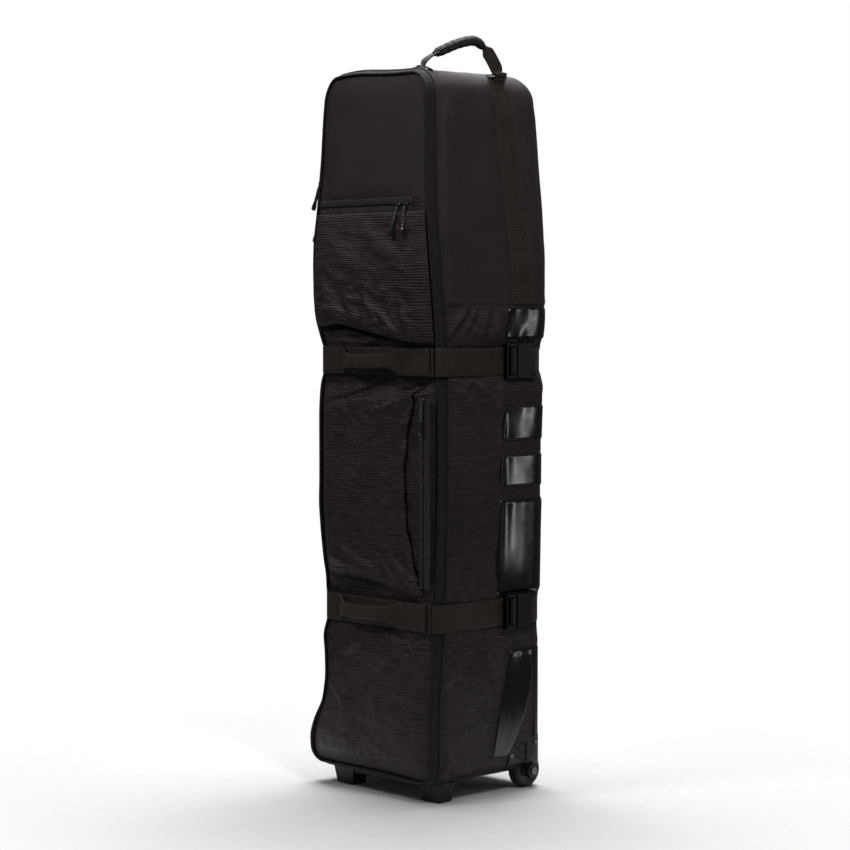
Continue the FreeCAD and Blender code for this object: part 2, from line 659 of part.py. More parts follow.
def handle_line():
    """Centre line of the handle's webbing, along and above the line of its ends."""
    length = handle_frame()[0]
    return [(0, 0), (5, 10), (17, 19), (42, 31), (74, HANDLE_RISE - 6), (104, HANDLE_RISE),
            (120, HANDLE_RISE - 7), (133.5, 31), (145, 14), (length, 0)]


def handle_webbing():
    """Webbing loop of the carry handle, folded narrower inside the grip."""
    strip = band(handle_line(), 2.5, -12.5, 12.5)
    strip.rotate(V(0, 0, 0), V(1, 0, 0), 90)
    line = handle_line()
    start, end = line[2][0] + 3, line[6][0] - 3
    for low, high in ((-20, -FOLDED_HALF), (FOLDED_HALF, 20)):
        strip = strip.cut(box((start, low, 0), (end, high, HANDLE_RISE + 20)))
    taper = [(-3.5, -1), (3.5, -1), (12.5, 17), (12.5, 90), (-12.5, 90), (-12.5, 17)]
    outline = polygon_face([(-20, y, z) for y, z in taper]).extrude(V(200, 0, 0))
    return placed_handle(strip.common(outline))


def handle_grip():
    """Padded wrap round the top of the handle."""
    line = [V(x, 0, z) for x, z in handle_line()[2:7]]
    line[0] += (line[1] - line[0]).normalize() * 4
    line[-1] += (line[-2] - line[-1]).normalize() * 4
    runs = [Part.LineSegment(a, b).toShape() for a, b in zip(line, line[1:])]
    path = Part.Wire(runs)
    start = (line[1] - line[0]).normalize()
    section = Part.Wire(Part.makeCircle(11.0, line[0], start))
    tube = path.makePipeShell([section], True, False, 2)
    hollow = band(handle_line(), 2.5, -FOLDED_HALF, FOLDED_HALF)
    hollow.rotate(V(0, 0, 0), V(1, 0, 0), 90)
    return placed_handle(tube.cut(hollow))


def handle_tabs():
    """Short webbing tabs that the handle's ends are sewn to."""
    shapes = []
    for (x, y), foot_z in ((HANDLE_FRONT, CASE_TOP - 8), (HANDLE_REAR, CASE_TOP - 22)):
        tab = box((x - 11, y - 5, foot_z), (x + 11, y + 5, HANDLE_AXIS_Z - 3.8))
        shapes.append(tab.cut(outer_form(-0.1)).cut(shell_piping()))
    return Part.makeCompound(shapes)


# ---------------------------------------------------------------- all nodes
def build():
    nodes = dict(shell_parts())
    nodes.update(inner_boards())
    nodes["shell_zip_tape"] = shell_zip()
    nodes["shell_piping"] = shell_piping()
    nodes["side_straps"] = pair(side_strap().cut(handle_tabs()))
    nodes["side_guards"] = side_guards().cut(side_strap().fuse(mirrored(side_strap())))
    nodes["skid_rails"] = skid_rails()
    nodes["handle_tabs"] = handle_tabs()
    nodes["front_feet"] = pair(front_foot())
    nodes["base_rail"] = base_rail()
    nodes["wheel_housing_right"] = wheel_housing()
    nodes["wheel_housing_left"] = mirrored(wheel_housing())
    nodes["housing_screws"] = housing_screws()
    nodes["axle_bolts"] = axles()
    straps = (("upper", UPPER_STRAP_Z), ("lower", LOWER_STRAP_Z))
    nodes["buckle_tabs"] = Part.makeCompound([buckle_tab(z) for _, z in straps])
    nodes["strap_anchors"] = Part.makeCompound([strap_anchor(z) for _, z in straps])
    nodes["front_straps"] = Part.makeCompound([front_strap(z) for _, z in straps])
    nodes["grab_handles"] = Part.makeCompound([grab_handle(z) for _, z in straps])
    for name, z in straps:
        nodes[name + "_buckle_socket"] = buckle_socket(z)
        nodes[name + "_strap_webbing"] = tail_webbing(z)
        nodes[name + "_buckle_plug"] = buckle_plug(z)
        nodes[name + "_buckle_arm_top"] = buckle_arm(z, 1)
        nodes[name + "_buckle_arm_bottom"] = buckle_arm(z, -1)
    nodes.update(door_parts())
    nodes["upper_pocket"] = upper_pocket()
    nodes["middle_pocket"] = middle_pocket()
    nodes["pocket_zips"] = pocket_zips()
    for name, shape in wheel_parts().items():
        nodes["wheel_" + name + "_right"] = shape
        nodes["wheel_" + name + "_left"] = mirrored(shape)
    face = upper_zip_face()
    for name, x, lean in zip(("left", "right"), POCKET_SLIDER_X, POCKET_PULL_LEAN):
        nodes["pocket_slider_" + name] = front_slider(x, UPPER_ZIP_Z, face, False)
        nodes["pocket_pull_" + name] = hanging_pull(
            front_pivot(x, UPPER_ZIP_Z, face), 9, lean, POCKET_PULL_SIZE)
    face = middle_zip_face()
    nodes["middle_slider"] = front_slider(MIDDLE_ZIP_X, MIDDLE_SLIDER_Z, face, True)
    nodes["middle_pull"] = hanging_pull(
        front_pivot(MIDDLE_ZIP_X, MIDDLE_SLIDER_Z, face), 3, 2, MIDDLE_PULL_SIZE)
    for name, z, lean in zip(("upper", "lower"), MAIN_SLIDER_Z, MAIN_PULL_LEAN):
        nodes["main_slider_" + name] = side_slider(z)
        nodes["main_pull_" + name] = hanging_pull(side_pivot(z), 0, lean, MAIN_PULL_SIZE)
    nodes["handle_webbing"] = handle_webbing()
    nodes["handle_grip"] = handle_grip()
    for shape in nodes.values():
        shape.translate(V(0, CENTRE_Y, 0))
    return nodes


def main():
    os.makedirs("parts", exist_ok=True)
    for name, shape in sorted(build().items()):
        if not shape.isValid():
            print("not valid:", name)
        box_ = shape.BoundBox
        print(f"{name:24s} solids {len(shape.Solids):2d} volume {shape.Volume / 1000:9.2f} cm3"
              f"  x {box_.XMin:7.1f} {box_.XMax:7.1f}  y {box_.YMin:7.1f} {box_.YMax:7.1f}"
              f"  z {box_.ZMin:7.1f} {box_.ZMax:7.1f}")
        shape.exportStep(os.path.join("parts", name + ".step"))


main()
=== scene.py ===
"""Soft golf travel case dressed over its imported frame.

Metres throughout. +Z is up, the door faces -Y, the buckles are on the +X side. Shapes are worked
out about the middle of the case's body; BODY_Y carries them into the frame's own place.
"""
import json
import math
import bpy
import numpy as np
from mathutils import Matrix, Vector, noise


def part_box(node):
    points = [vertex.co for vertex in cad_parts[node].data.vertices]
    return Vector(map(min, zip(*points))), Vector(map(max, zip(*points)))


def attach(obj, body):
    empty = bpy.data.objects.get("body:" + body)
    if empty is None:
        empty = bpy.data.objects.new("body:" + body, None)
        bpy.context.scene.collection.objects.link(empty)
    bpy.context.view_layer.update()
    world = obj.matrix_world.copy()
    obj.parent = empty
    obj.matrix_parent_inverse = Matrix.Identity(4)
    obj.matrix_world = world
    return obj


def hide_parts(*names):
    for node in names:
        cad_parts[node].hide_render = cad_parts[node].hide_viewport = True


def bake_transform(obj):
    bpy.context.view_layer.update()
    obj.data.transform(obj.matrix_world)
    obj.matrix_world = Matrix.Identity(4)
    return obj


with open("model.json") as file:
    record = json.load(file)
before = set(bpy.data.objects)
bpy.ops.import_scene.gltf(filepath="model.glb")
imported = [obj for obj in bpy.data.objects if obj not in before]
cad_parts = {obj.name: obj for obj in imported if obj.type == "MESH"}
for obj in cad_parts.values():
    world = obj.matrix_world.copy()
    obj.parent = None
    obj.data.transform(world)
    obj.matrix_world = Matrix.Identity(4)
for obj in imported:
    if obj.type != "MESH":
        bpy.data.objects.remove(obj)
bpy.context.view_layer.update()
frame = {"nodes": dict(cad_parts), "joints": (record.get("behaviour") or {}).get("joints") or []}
nodes = frame["nodes"]
joints = {j["name"]: j for j in frame["joints"]}

AXLE_Y = 0.112              # from the middle of the body back to the wheels' axle
hub_low, hub_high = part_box("wheel_hub_right")
BODY_Y = (hub_low.y + hub_high.y) / 2 - AXLE_Y

HALF, LOW, HIGH, BACK = 0.155, 0.036, 1.300, 0.1425
R_LOW, R_HIGH = 0.030, 0.048
SEAM_Z = 0.885
UPPER_STRAP, LOWER_STRAP = 0.785, 0.333
MOUTH_DEPTH = 0.0186        # from the door's front to the shell's edge
DOOR_INSET = 0.009
ARCH_X, ARCH_Y, ARCH_Z = 0.1095, 0.0500, 0.0955    # where the cloth makes room for the wheels
COIL_PITCH = 0.0024         # from one hump of a pocket zip's coil to the next
PATCH_CORNER = 0.006        # radius of a wear panel's corners
TABLE_STEP = 0.001


# ---------------------------------------------------------------- small maths
def smooth_table(points, blur=0.020):
    """A smooth function through (place, value) points."""
    places = np.arange(-0.1, 1.5, TABLE_STEP)
    values = np.interp(places, [p[0] for p in points], [p[1] for p in points])
    reach = int(3 * blur / TABLE_STEP)
    kernel = np.exp(-0.5 * (np.arange(-reach, reach + 1) * TABLE_STEP / blur) ** 2)
    values = np.convolve(np.pad(values, reach, mode="edge"), kernel / kernel.sum(), "valid")
    return lambda where: np.interp(where, places, values)


def bump(x, centre, width):
    return np.exp(-((x - centre) / width) ** 2)


def step(x, low, high):
    t = np.clip((x - low) / (high - low), 0, 1)
    return t * t * (3 - 2 * t)


def between(x, low, high, edge):
    return step(x, low - edge, low + edge) * (1 - step(x, high - edge, high + edge))


def fold(a, b, line, width, height, lean=0.0):
    """A ridge along a line of points, fading to its ends; lean puts a valley beside it."""
    best = np.full(a.shape, 1e9)
    signed, along = np.zeros(a.shape), np.zeros(a.shape)
    lengths = [math.dist(p, q) for p, q in zip(line, line[1:])]
    total, done = sum(lengths), 0.0
    for p, q, length in zip(line, line[1:], lengths):
        ua, ub = (q[0] - p[0]) / length, (q[1] - p[1]) / length
        t = np.clip((a - p[0]) * ua + (b - p[1]) * ub, 0, length)
        da, db = a - p[0] - t * ua, b - p[1] - t * ub
        dist = np.hypot(da, db)
        nearer = dist < best
        best = np.where(nearer, dist, best)
        signed = np.where(nearer, np.sign(db * ua - da * ub) * dist, signed)
        along = np.where(nearer, (done + t) / total, along)
        done += length
    taper = np.sin(np.pi * np.clip(along, 0.04, 0.96)) ** 0.6
    ridge = np.exp(-(signed / width) ** 2)
    valley = np.exp(-((signed - 1.5 * width) / width) ** 2)
    return height * taper * (ridge - lean * valley)


def folds(a, b, table):
    total = np.zeros(a.shape)
    for line, width, height, lean in table:
        total += fold(a, b, line, width / 1000, height / 1000, lean)
    return total


def noise_field(a, b, seed, scale, octaves=3):
    """Smooth noise of about -1..1 over two coordinates."""
    pairs = zip((a / scale).ravel(), (b / scale).ravel())
    values = [noise.fractal((u, v, seed), 0.9, 2.1, octaves) for u, v in pairs]
    return np.array(values).reshape(a.shape)


def ridged(a, b, seed, scale):
    """Creased noise: sharp ridges between soft hollows, 0..1."""
    n = noise_field(a, b, seed, scale, 2)
    return (1 - np.clip(np.abs(n) * 1.8, 0, 1)) ** 2


def turned(a, b, degrees, stretch):
    """Coordinates turned and squeezed, so that noise runs in streaks."""
    c, s = math.cos(math.radians(degrees)), math.sin(math.radians(degrees))
    return (a * c + b * s) * stretch, -a * s + b * c


def unit(v):
    v = np.asarray(v, float)
    return v / np.maximum(np.linalg.norm(v, axis=-1, keepdims=True), 1e-12)


def smooth_path(points, count):
    """A smooth line through points, with evenly spread places along it."""
    p = np.asarray(points, float)
    p = np.vstack([2 * p[0] - p[1], p, 2 * p[-1] - p[-2]])
    fine = []
    for i in range(1, len(p) - 2):
        for t in np.linspace(0, 1, 24, endpoint=False):
            a, b, c, d = p[i - 1], p[i], p[i + 1], p[i + 2]
            fine.append(0.5 * (2 * b + (c - a) * t + (2 * a - 5 * b + 4 * c - d) * t ** 2
                               + (3 * b - a - 3 * c + d) * t ** 3))
    fine.append(p[-2])
    fine = np.array(fine)
    s = np.concatenate([[0], np.cumsum(np.linalg.norm(np.diff(fine, axis=0), axis=1))])
    where = np.linspace(0, s[-1], count)
    return np.stack([np.interp(where, s, fine[:, k]) for k in range(p.shape[1])], axis=1)


# ---------------------------------------------------------------- the case's form
FRONT = smooth_table([(0, -.140), (.150, -.1425), (.333, -.129), (.560, -.121), (.785, -.121),
                      (.900, -.131), (1.040, -.1425), (1.400, -.1425)])
LEFT_IN = smooth_table([(.03, -.022), (.090, -.028), (.125, -.012), (.155, .010), (.200, .016),
                        (.250, .010), (.279, .002), (.300, .010), (.333, .022), (.360, .006),
                        (.385, .006), (.414, -.004), (.470, -.016), (.520, -.024), (.690, -.024),
                        (.740, -.019), (.772, -.004), (.785, .002), (.800, -.003), (.825, -.014),
                        (.860, -.026), (.900, -.027), (.960, -.022), (1.00, -.016), (1.05, -.003),
                        (1.10, .004), (1.15, .011), (1.21, .016), (1.25, .021), (1.29, .027)],
                       0.009)
RIGHT_FRONT = smooth_table([(.03, .000), (.30, .001), (.90, -.003), (1.05, -.006), (1.2, -.009)])
RIGHT_BACK = smooth_table([(.03, .000), (.28, -.001), (.40, .003), (.60, .006), (.69, .008),
                           (.72, .014), (.745, .013), (.77, .001), (.80, .001), (.82, .008),
                           (.86, .013), (.98, .011), (1.04, .006), (1.10, .001), (1.20, -.005),
                           (1.26, -.008)], 0.012)
BACK_OUT = smooth_table([(.03, .000), (.60, .001), (.76, .001), (.86, .006), (1.0, .006),
                         (1.1, .002), (1.26, -.006)])


def warp(points):
    """What the straps and the stuffing do to the case's shape."""
    points = np.array(points, float)
    x, y, z = points[..., 0].copy(), points[..., 1].copy(), points[..., 2]
    forward = np.clip((BACK - y) / (2 * BACK), 0, 1.1)
    left, right = np.clip(-x / HALF, 0, 1.1) ** 2, np.clip(x / HALF, 0, 1.1) ** 2
    behind = np.clip(1 - forward, 0, 1)
    points[..., 0] = (x + left * forward * LEFT_IN(z) + right * forward * RIGHT_FRONT(z)
                      + (right - left) * behind * RIGHT_BACK(z))
    points[..., 1] = y + behind ** 2 * BACK_OUT(z)
    points[..., 2] = z + .006 * bump(x, -.050, .070) * step(z, 1.20, 1.29)
    # the shell's foot sags a little below the door between the feet and the wheels
    points[..., 2] -= (.006 * bump(x, .110, .050) * (1 - step(z, .036, .075))
                       * (.4 + .6 * bump(y, -.085, .05)))
    return points


def outline(step_len=0.005):
    """Round the front view from the middle of the bottom: rows of x, z, normal x, normal z."""
    rows = []
    here = (0.0, LOW)
    corners = [(HALF - R_LOW, LOW + R_LOW, R_LOW, -90), (HALF - R_HIGH, HIGH - R_HIGH, R_HIGH, 0),
               (-HALF + R_HIGH, HIGH - R_HIGH, R_HIGH, 90),
               (-HALF + R_LOW, LOW + R_LOW, R_LOW, 180)]

    def straight(end, a):
        count = max(1, round(math.dist(here, end) / step_len))
        for i in range(count):
            t = i / count
            rows.append((here[0] + (end[0] - here[0]) * t, here[1] + (end[1] - here[1]) * t,
                         math.cos(a), math.sin(a)))

    for cx, cz, r, start in corners:
        a = math.radians(start)
        straight((cx + r * math.cos(a), cz + r * math.sin(a)), a)
        turns = max(4, round(r * math.pi / 2 / (step_len * 0.8)))
        for i in range(turns):
            b = a + math.pi / 2 * i / turns
            rows.append((cx + r * math.cos(b), cz + r * math.sin(b), math.cos(b), math.sin(b)))
        a += math.pi / 2
        here = (cx + r * math.cos(a), cz + r * math.sin(a))
    straight((0.0, LOW), math.radians(270))
    rows = np.array(rows)
    gaps = np.hypot(*(np.roll(rows[:, :2], -1, axis=0) - rows[:, :2]).T)
    lengths = np.concatenate([[0], np.cumsum(gaps)[:-1]])
    return rows, lengths, gaps.sum()


# ---------------------------------------------------------------- meshes
def put(name, points, faces, material, body, replaces=(), uv=None, smooth=True,
        material_of=None):
    """A mesh piece of the case, drawn about the middle of the body, riding on a CAD body."""
    mesh = bpy.data.meshes.new(name)
    points = np.asarray(points, float).reshape(-1, 3) + [0, BODY_Y, 0]
    mesh.from_pydata(points.tolist(), [], [tuple(f) for f in faces])
    materials = material if isinstance(material, (list, tuple)) else [material]
    for m in materials:
        mesh.materials.append(m)
    if smooth:
        mesh.polygons.foreach_set("use_smooth", [True] * len(mesh.polygons))
    if uv is not None:
        layer = mesh.uv_layers.new(name="UVMap")
        index = np.zeros(len(mesh.loops), int)
        mesh.loops.foreach_get("vertex_index", index)
        layer.data.foreach_set("uv", np.asarray(uv, float).reshape(-1, 2)[index].ravel())
    if material_of is not None:
        mesh.polygons.foreach_set("material_index", [int(i) for i in material_of])
    mesh.update()
    piece = bpy.data.objects.new(name, mesh)
    bpy.context.scene.collection.objects.link(piece)
    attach(piece, body)
    if replaces:
        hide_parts(*replaces)
    return piece


def quads(rows, cols, wrap_rows=False, wrap_cols=False, flip=False):
    out = []
    for i in range(rows if wrap_rows else rows - 1):
        for j in range(cols if wrap_cols else cols - 1):
            a, b = i * cols + j, i * cols + (j + 1) % cols
            c, d = (i + 1) % rows * cols + (j + 1) % cols, (i + 1) % rows * cols + j
            out.append((a, d, c, b) if flip else (a, b, c, d))
    return out


def add(piece, kind, **settings):
    modifier = piece.modifiers.new(kind.title(), kind)
    for key, value in settings.items():
        setattr(modifier, key, value)
    return modifier


def grid_normals(points, wrap_rows=False):
    """Unit normals of a grid of points, from its neighbours."""
    if wrap_rows:
        du = np.roll(points, -1, axis=0) - np.roll(points, 1, axis=0)
    else:
        du = np.gradient(points, axis=0)
    return unit(np.cross(du, np.gradient(points, axis=1)))


def tube_parts(path, radius, sides=10, normal=None, wrap=False):
    """Points and faces of a round tube along a path; radius may vary along it."""
    path = np.asarray(path, float)
    n = len(path)
    tangent = unit(np.roll(path, -1, axis=0) - np.roll(path, 1, axis=0)) if wrap else unit(
        np.gradient(path, axis=0))
    side = np.asarray(normal if normal is not None else
                      ([0, 0, 1] if abs(tangent[0][2]) < 0.9 else [0, 1, 0]), float)
    radius = np.broadcast_to(np.asarray(radius, float), (n,))
    rings = []
    for i in range(n):
        side = unit(side - tangent[i] * (side @ tangent[i]))
        other = np.cross(tangent[i], side)
        turn = np.linspace(0, 2 * np.pi, sides, endpoint=False)
        rings.append(path[i] + radius[i] * (np.cos(turn)[:, None] * side
                                            + np.sin(turn)[:, None] * other))
    points = np.concatenate(rings)
    faces = quads(n, sides, wrap_rows=wrap, wrap_cols=True)
    if not wrap:
        faces.append(tuple(range(sides)))
        faces.append(tuple(range(n * sides - 1, n * sides - sides - 1, -1)))
    return points, faces


def merged(parts):
    """Several (points, faces) as one."""
    points, faces, start = [], [], 0
    for p, f in parts:
        points.append(p)
        faces += [tuple(i + start for i in face) for face in f]
        start += len(p)
    return np.concatenate(points), faces


def ribbon_parts(path, across, width, thick):
    """A webbing strip: closed, with soft edges. Returns points, faces and UVs in metres."""
    path, across = np.asarray(path, float), unit(np.broadcast_to(across, np.shape(path)))
    n = len(path)
    tangent = unit(np.gradient(path, axis=0))
    up = unit(np.cross(across, tangent))
    across = unit(np.cross(tangent, up))
    width = np.broadcast_to(np.asarray(width, float), (n,))
    thick = np.broadcast_to(np.asarray(thick, float), (n,))
    ring = [(-1, 0), (-1, .6), (-.97, 1), (-.8, 1), (-.4, 1), (0, 1), (.4, 1), (.8, 1), (.97, 1),
            (1, .6), (1, 0), (1, -.6), (.97, -1), (.5, -1), (0, -1), (-.5, -1), (-.97, -1),
            (-1, -.6)]
    flat = np.array(ring)
    points = (path[:, None] + across[:, None] * (flat[:, 0] / 2 * width[:, None])[..., None]
              + up[:, None] * (flat[:, 1] / 2 * thick[:, None])[..., None])
    s = np.concatenate([[0], np.cumsum(np.linalg.norm(np.diff(path, axis=0), axis=1))])
    uv = np.stack([np.broadcast_to(flat[:, 0] / 2, (n, len(ring))) * width[:, None],
                   np.broadcast_to(s[:, None], (n, len(ring)))], axis=-1)
    faces = quads(n, len(ring), wrap_cols=True, flip=True)
    faces.append(tuple(range(len(ring) - 1, -1, -1)))
    faces.append(tuple(range((n - 1) * len(ring), n * len(ring))))
    return points.reshape(-1, 3), faces, uv.reshape(-1, 2)


def webbing(name, path, across, width, thick, body, replaces=()):
    points, faces, uv = ribbon_parts(path, across, width, thick)
    return put(name, points, faces, WEBBING, body, replaces, uv)


def stitch_parts(path, normal, pitch=0.0042, length=0.0030, radius=0.00055):
    """A row of separate stitches that lie along a path."""
    path = np.asarray(path, float)
    normal = unit(np.broadcast_to(normal, path.shape))
    s = np.concatenate([[0], np.cumsum(np.linalg.norm(np.diff(path, axis=0), axis=1))])
    where = np.arange(pitch / 2, s[-1], pitch)

    def at(table, w):
        return np.stack([np.interp(w, s, table[:, k]) for k in range(3)], axis=-1)

    a, b = at(path, where - length / 2), at(path, where + length / 2)
    up = unit(at(normal, where))
    along = unit(b - a)
    side = np.cross(along, up)
    rings = []
    for t, r, lift in ((0, .45, -.6), (.25, 1, .3), (.75, 1, .3), (1, .45, -.6)):
        centre = a + (b - a) * t + up * (lift * radius)
        for c, d in ((1, 0), (0, 1), (-1, 0), (0, -1)):
            rings.append(centre + (side * c + up * d) * (r * radius))
    points = np.stack(rings, axis=1).reshape(-1, 3)
    faces = []
    for k in range(len(where)):
        o = 16 * k
        faces += [tuple(o + i for i in f) for f in quads(4, 4, wrap_cols=True)]
        faces += [(o, o + 1, o + 2, o + 3), (o + 15, o + 14, o + 13, o + 12)]
    return points, faces


def stitches(name, rows, body, **how):
    """Rows of stitches, as (path, normal) pairs, in one piece."""
    points, faces = merged([stitch_parts(path, normal, **how) for path, normal in rows])
    return put(name, points, faces, THREAD, body)


# ---------------------------------------------------------------- materials
class Nodes:
    """A short way to write a node tree."""

    def __init__(self, name):
        self.material = bpy.data.materials.new(name)
        self.material.use_nodes = True
        self.tree = self.material.node_tree
        self.shader = self.tree.nodes["Principled BSDF"]

    def new(self, kind, **settings):
        node = self.tree.nodes.new("ShaderNode" + kind)
        for key, value in settings.items():
            setattr(node, key, value)
        return node

    def link(self, out, into):
        self.tree.links.new(out, into)

    def math(self, op, a, b=None, c=None):
        node = self.new("Math", operation=op)
        for i, v in enumerate((a, b, c)):
            if v is None:
                continue
            if isinstance(v, (int, float)):
                node.inputs[i].default_value = v
            else:
                self.link(v, node.inputs[i])
        return node.outputs[0]

    def uv(self):
        """The cloth's own coordinates, in metres."""
        out = self.new("UVMap", uv_map="UVMap").outputs["UV"]
        xyz = self.new("SeparateXYZ")
        self.link(out, xyz.inputs[0])
        return out, xyz.outputs

    def noise(self, vector, scale, detail=3, rough=0.55):
        node = self.new("TexNoise")
        node.inputs["Scale"].default_value = scale
        node.inputs["Detail"].default_value = detail
        node.inputs["Roughness"].default_value = rough
        if vector is not None:
            self.link(vector, node.inputs["Vector"])
        return node.outputs["Fac"]

    def stretched(self, vector, scale):
        node = self.new("VectorMath", operation="MULTIPLY")
        self.link(vector, node.inputs[0])
        node.inputs[1].default_value = scale
        return node.outputs["Vector"]

    def place(self):
        return self.new("TexCoord").outputs["Object"]

    def wave(self, coordinate, pitch, phase=None):
        """A rounded thread profile, 0..1, that repeats every pitch metres."""
        angle = self.math("MULTIPLY", coordinate, 2 * math.pi / pitch)
        if phase is not None:
            angle = self.math("ADD", angle, phase)
        return self.math("MULTIPLY_ADD", self.math("SINE", angle), 0.5, 0.5)

    def ramp(self, fac, stops):
        node = self.new("ValToRGB")
        while len(node.color_ramp.elements) < len(stops):
            node.color_ramp.elements.new(0.5)
        for element, (at, colour) in zip(node.color_ramp.elements, stops):
            element.position = at
            element.color = (*colour, 1)
        self.link(fac, node.inputs[0])
        return node.outputs[0]

    def bump(self, height, distance, strength=1.0):
        node = self.new("Bump")
        node.inputs["Strength"].default_value = strength
        node.inputs["Distance"].default_value = distance
        self.link(height, node.inputs["Height"])
        return node.outputs["Normal"]

    def finish(self, colour=None, roughness=None, normal=None, **constants):
        if colour is not None:
            self.link(colour, self.shader.inputs["Base Color"])
        if roughness is not None:
            self.link(roughness, self.shader.inputs["Roughness"])
        if normal is not None:
            self.link(normal, self.shader.inputs["Normal"])
        for key, value in constants.items():
            self.shader.inputs[key.replace("_", " ")].default_value = value
        return self.material


def shade(colour, factor):
    return tuple(c * factor for c in colour)


def cloth(name, colour, rib=0.0034, twill=False, gloss=0.24, rough=0.42, depth=0.34,
          uneven=0.42):
    """Black woven polyester: threads both ways, with faint ribs or a diagonal twill."""
    n = Nodes(name)
    vector, (u, v, _) = n.uv()
    if twill:
        diagonal = n.math("ADD", u, v)
        ribs = n.wave(diagonal, rib * 1.25)
        threads = n.wave(n.math("SUBTRACT", u, v), rib * 1.1)
    else:
        wander = n.math("MULTIPLY", n.noise(n.stretched(vector, (12, 60, 1)), 1.0, 3), 14.0)
        ribs = n.wave(v, rib, wander)
        threads = n.wave(u, rib * 0.5)
    grain = n.noise(vector, 900, 2)
    patches = n.noise(n.place(), 9, 4)
    weave = n.math("MULTIPLY_ADD", threads, 0.40, n.math("MULTIPLY", ribs, 0.60))
    slub = n.noise(n.stretched(vector, (28, 520, 1)), 1.0, 2)
    tone = n.math("MULTIPLY_ADD", weave, depth, n.math("MULTIPLY_ADD", patches, 0.16,
                                                      n.math("MULTIPLY", grain, 0.08)))
    tone = n.math("MULTIPLY_ADD", slub, uneven, tone)
    colours = n.ramp(tone, [(0.34, shade(colour, 0.12)), (0.48, shade(colour, 0.9)),
                            (0.66, shade(colour, 3.6))])
    roughness = n.math("MULTIPLY_ADD", patches, 0.16, n.math("MULTIPLY_ADD", ribs, -0.10, rough))
    normal = n.bump(n.math("MULTIPLY_ADD", grain, 0.3, weave), 0.0008, 0.9)
    return n.finish(colours, roughness, normal, Specular_IOR_Level=gloss, Sheen_Weight=0.01,
                    Sheen_Roughness=0.45)


def woven_tape(name, colour, pitch=0.0036):
    """Nylon webbing or tape: cross ribs made of small slanting floats."""
    n = Nodes(name)
    vector, (u, v, _) = n.uv()
    slant = n.math("PINGPONG", u, 0.0032)
    ribs = n.wave(n.math("MULTIPLY_ADD", slant, 0.55, v), pitch)
    warp_threads = n.wave(u, 0.0016)
    patches = n.noise(n.place(), 25, 4)
    grain = n.noise(vector, 1200, 1)
    weave = n.math("MULTIPLY_ADD", warp_threads, 0.3, n.math("MULTIPLY", ribs, 0.7))
    tone = n.math("MULTIPLY_ADD", weave, 0.66, n.math("MULTIPLY_ADD", patches, 0.22,
                                                      n.math("MULTIPLY", grain, 0.12)))
    colours = n.ramp(tone, [(0.30, shade(colour, 0.1)), (0.5, shade(colour, 0.8)),
                            (0.68, shade(colour, 3.2))])
    roughness = n.math("MULTIPLY_ADD", ribs, -0.12, 0.6)
    return n.finish(colours, roughness, n.bump(weave, 0.0009, 0.9), Specular_IOR_Level=0.22,
                    Sheen_Weight=0.04, Sheen_Roughness=0.4)


def plastic(name, colour, rough=0.35, texture=0.0001, gloss=0.5, coat=0.0):
    """Moulded plastic: fine spark texture, worn a little smoother and paler in patches."""
    n = Nodes(name)
    place = n.place()
    grain = n.noise(place, 1400, 2)
    wear = n.noise(place, 45, 4, 0.65)
    colours = n.ramp(n.math("MULTIPLY_ADD", wear, 0.7, n.math("MULTIPLY", grain, 0.3)),
                     [(0.3, shade(colour, 0.7)), (0.55, colour), (0.8, shade(colour, 1.9))])
    roughness = n.math("MULTIPLY_ADD", wear, 0.22, rough - 0.11)
    return n.finish(colours, roughness, n.bump(grain, texture, 0.5), Specular_IOR_Level=gloss,
                    Coat_Weight=coat, Coat_Roughness=0.12)


def steel(name, colour, rough):
    n = Nodes(name)
    place = n.place()
    scratches = n.noise(place, 260, 5, 0.7)
    colours = n.ramp(scratches, [(0.3, shade(colour, 0.6)), (0.7, shade(colour, 1.25))])
    return n.finish(colours, n.math("MULTIPLY_ADD", scratches, 0.25, rough),
                    n.bump(scratches, 0.00006, 0.4), Metallic=0.9)


def speckled_cord(name):
    n = Nodes(name)
    place = n.place()
    braid = n.noise(place, 620, 1)
    colours = n.ramp(braid, [(0.50, (0.006, 0.006, 0.006)), (0.60, (0.02, 0.02, 0.02)),
                             (0.68, (0.30, 0.29, 0.27))])
    return n.finish(colours, None, n.bump(braid, 0.0003, 0.8), Roughness=0.55)


FABRIC = (0.0172, 0.0110, 0.0126)
SIDE_CLOTH = cloth("side_cloth", FABRIC)
TWILL_CLOTH = cloth("twill_cloth", shade(FABRIC, .9), rib=0.0044, twill=True, gloss=0.30,
                    depth=0.62, uneven=0.16)
DOOR_CLOTH = cloth("door_cloth", shade(FABRIC, 1.05), rib=0.0040)
PANEL_CLOTH = cloth("panel_cloth", shade(FABRIC, .9), rib=0.0044, twill=True, depth=0.62,
                    uneven=0.16)
PIPE_CLOTH = cloth("piping_cloth", (0.0075, 0.0068, 0.0066), rib=0.0022, rough=0.55)
LINING = cloth("lining_cloth", (0.026, 0.026, 0.028), rib=0.0028, gloss=0.2)
WEBBING = woven_tape("webbing", (0.0180, 0.0128, 0.0098))
TAPE = woven_tape("zip_tape", (0.0165, 0.0130, 0.0112), 0.0016)
COIL = plastic("zip_coil", (0.012, 0.011, 0.010), 0.4)
THREAD = plastic("thread", (0.070, 0.060, 0.052), 0.6, 0.00005, 0.3)
GLOSS_PLASTIC = plastic("buckle_plastic", (0.0040, 0.0038, 0.0036), 0.40, 0.00003, 0.24)
MATTE_PLASTIC = plastic("moulded_plastic", (0.0095, 0.0080, 0.0072), 0.48, 0.00018, 0.32)
FILM = plastic("glossy_film", (0.0042, 0.0041, 0.0046), 0.13, 0.00001, 0.5, 0.0)
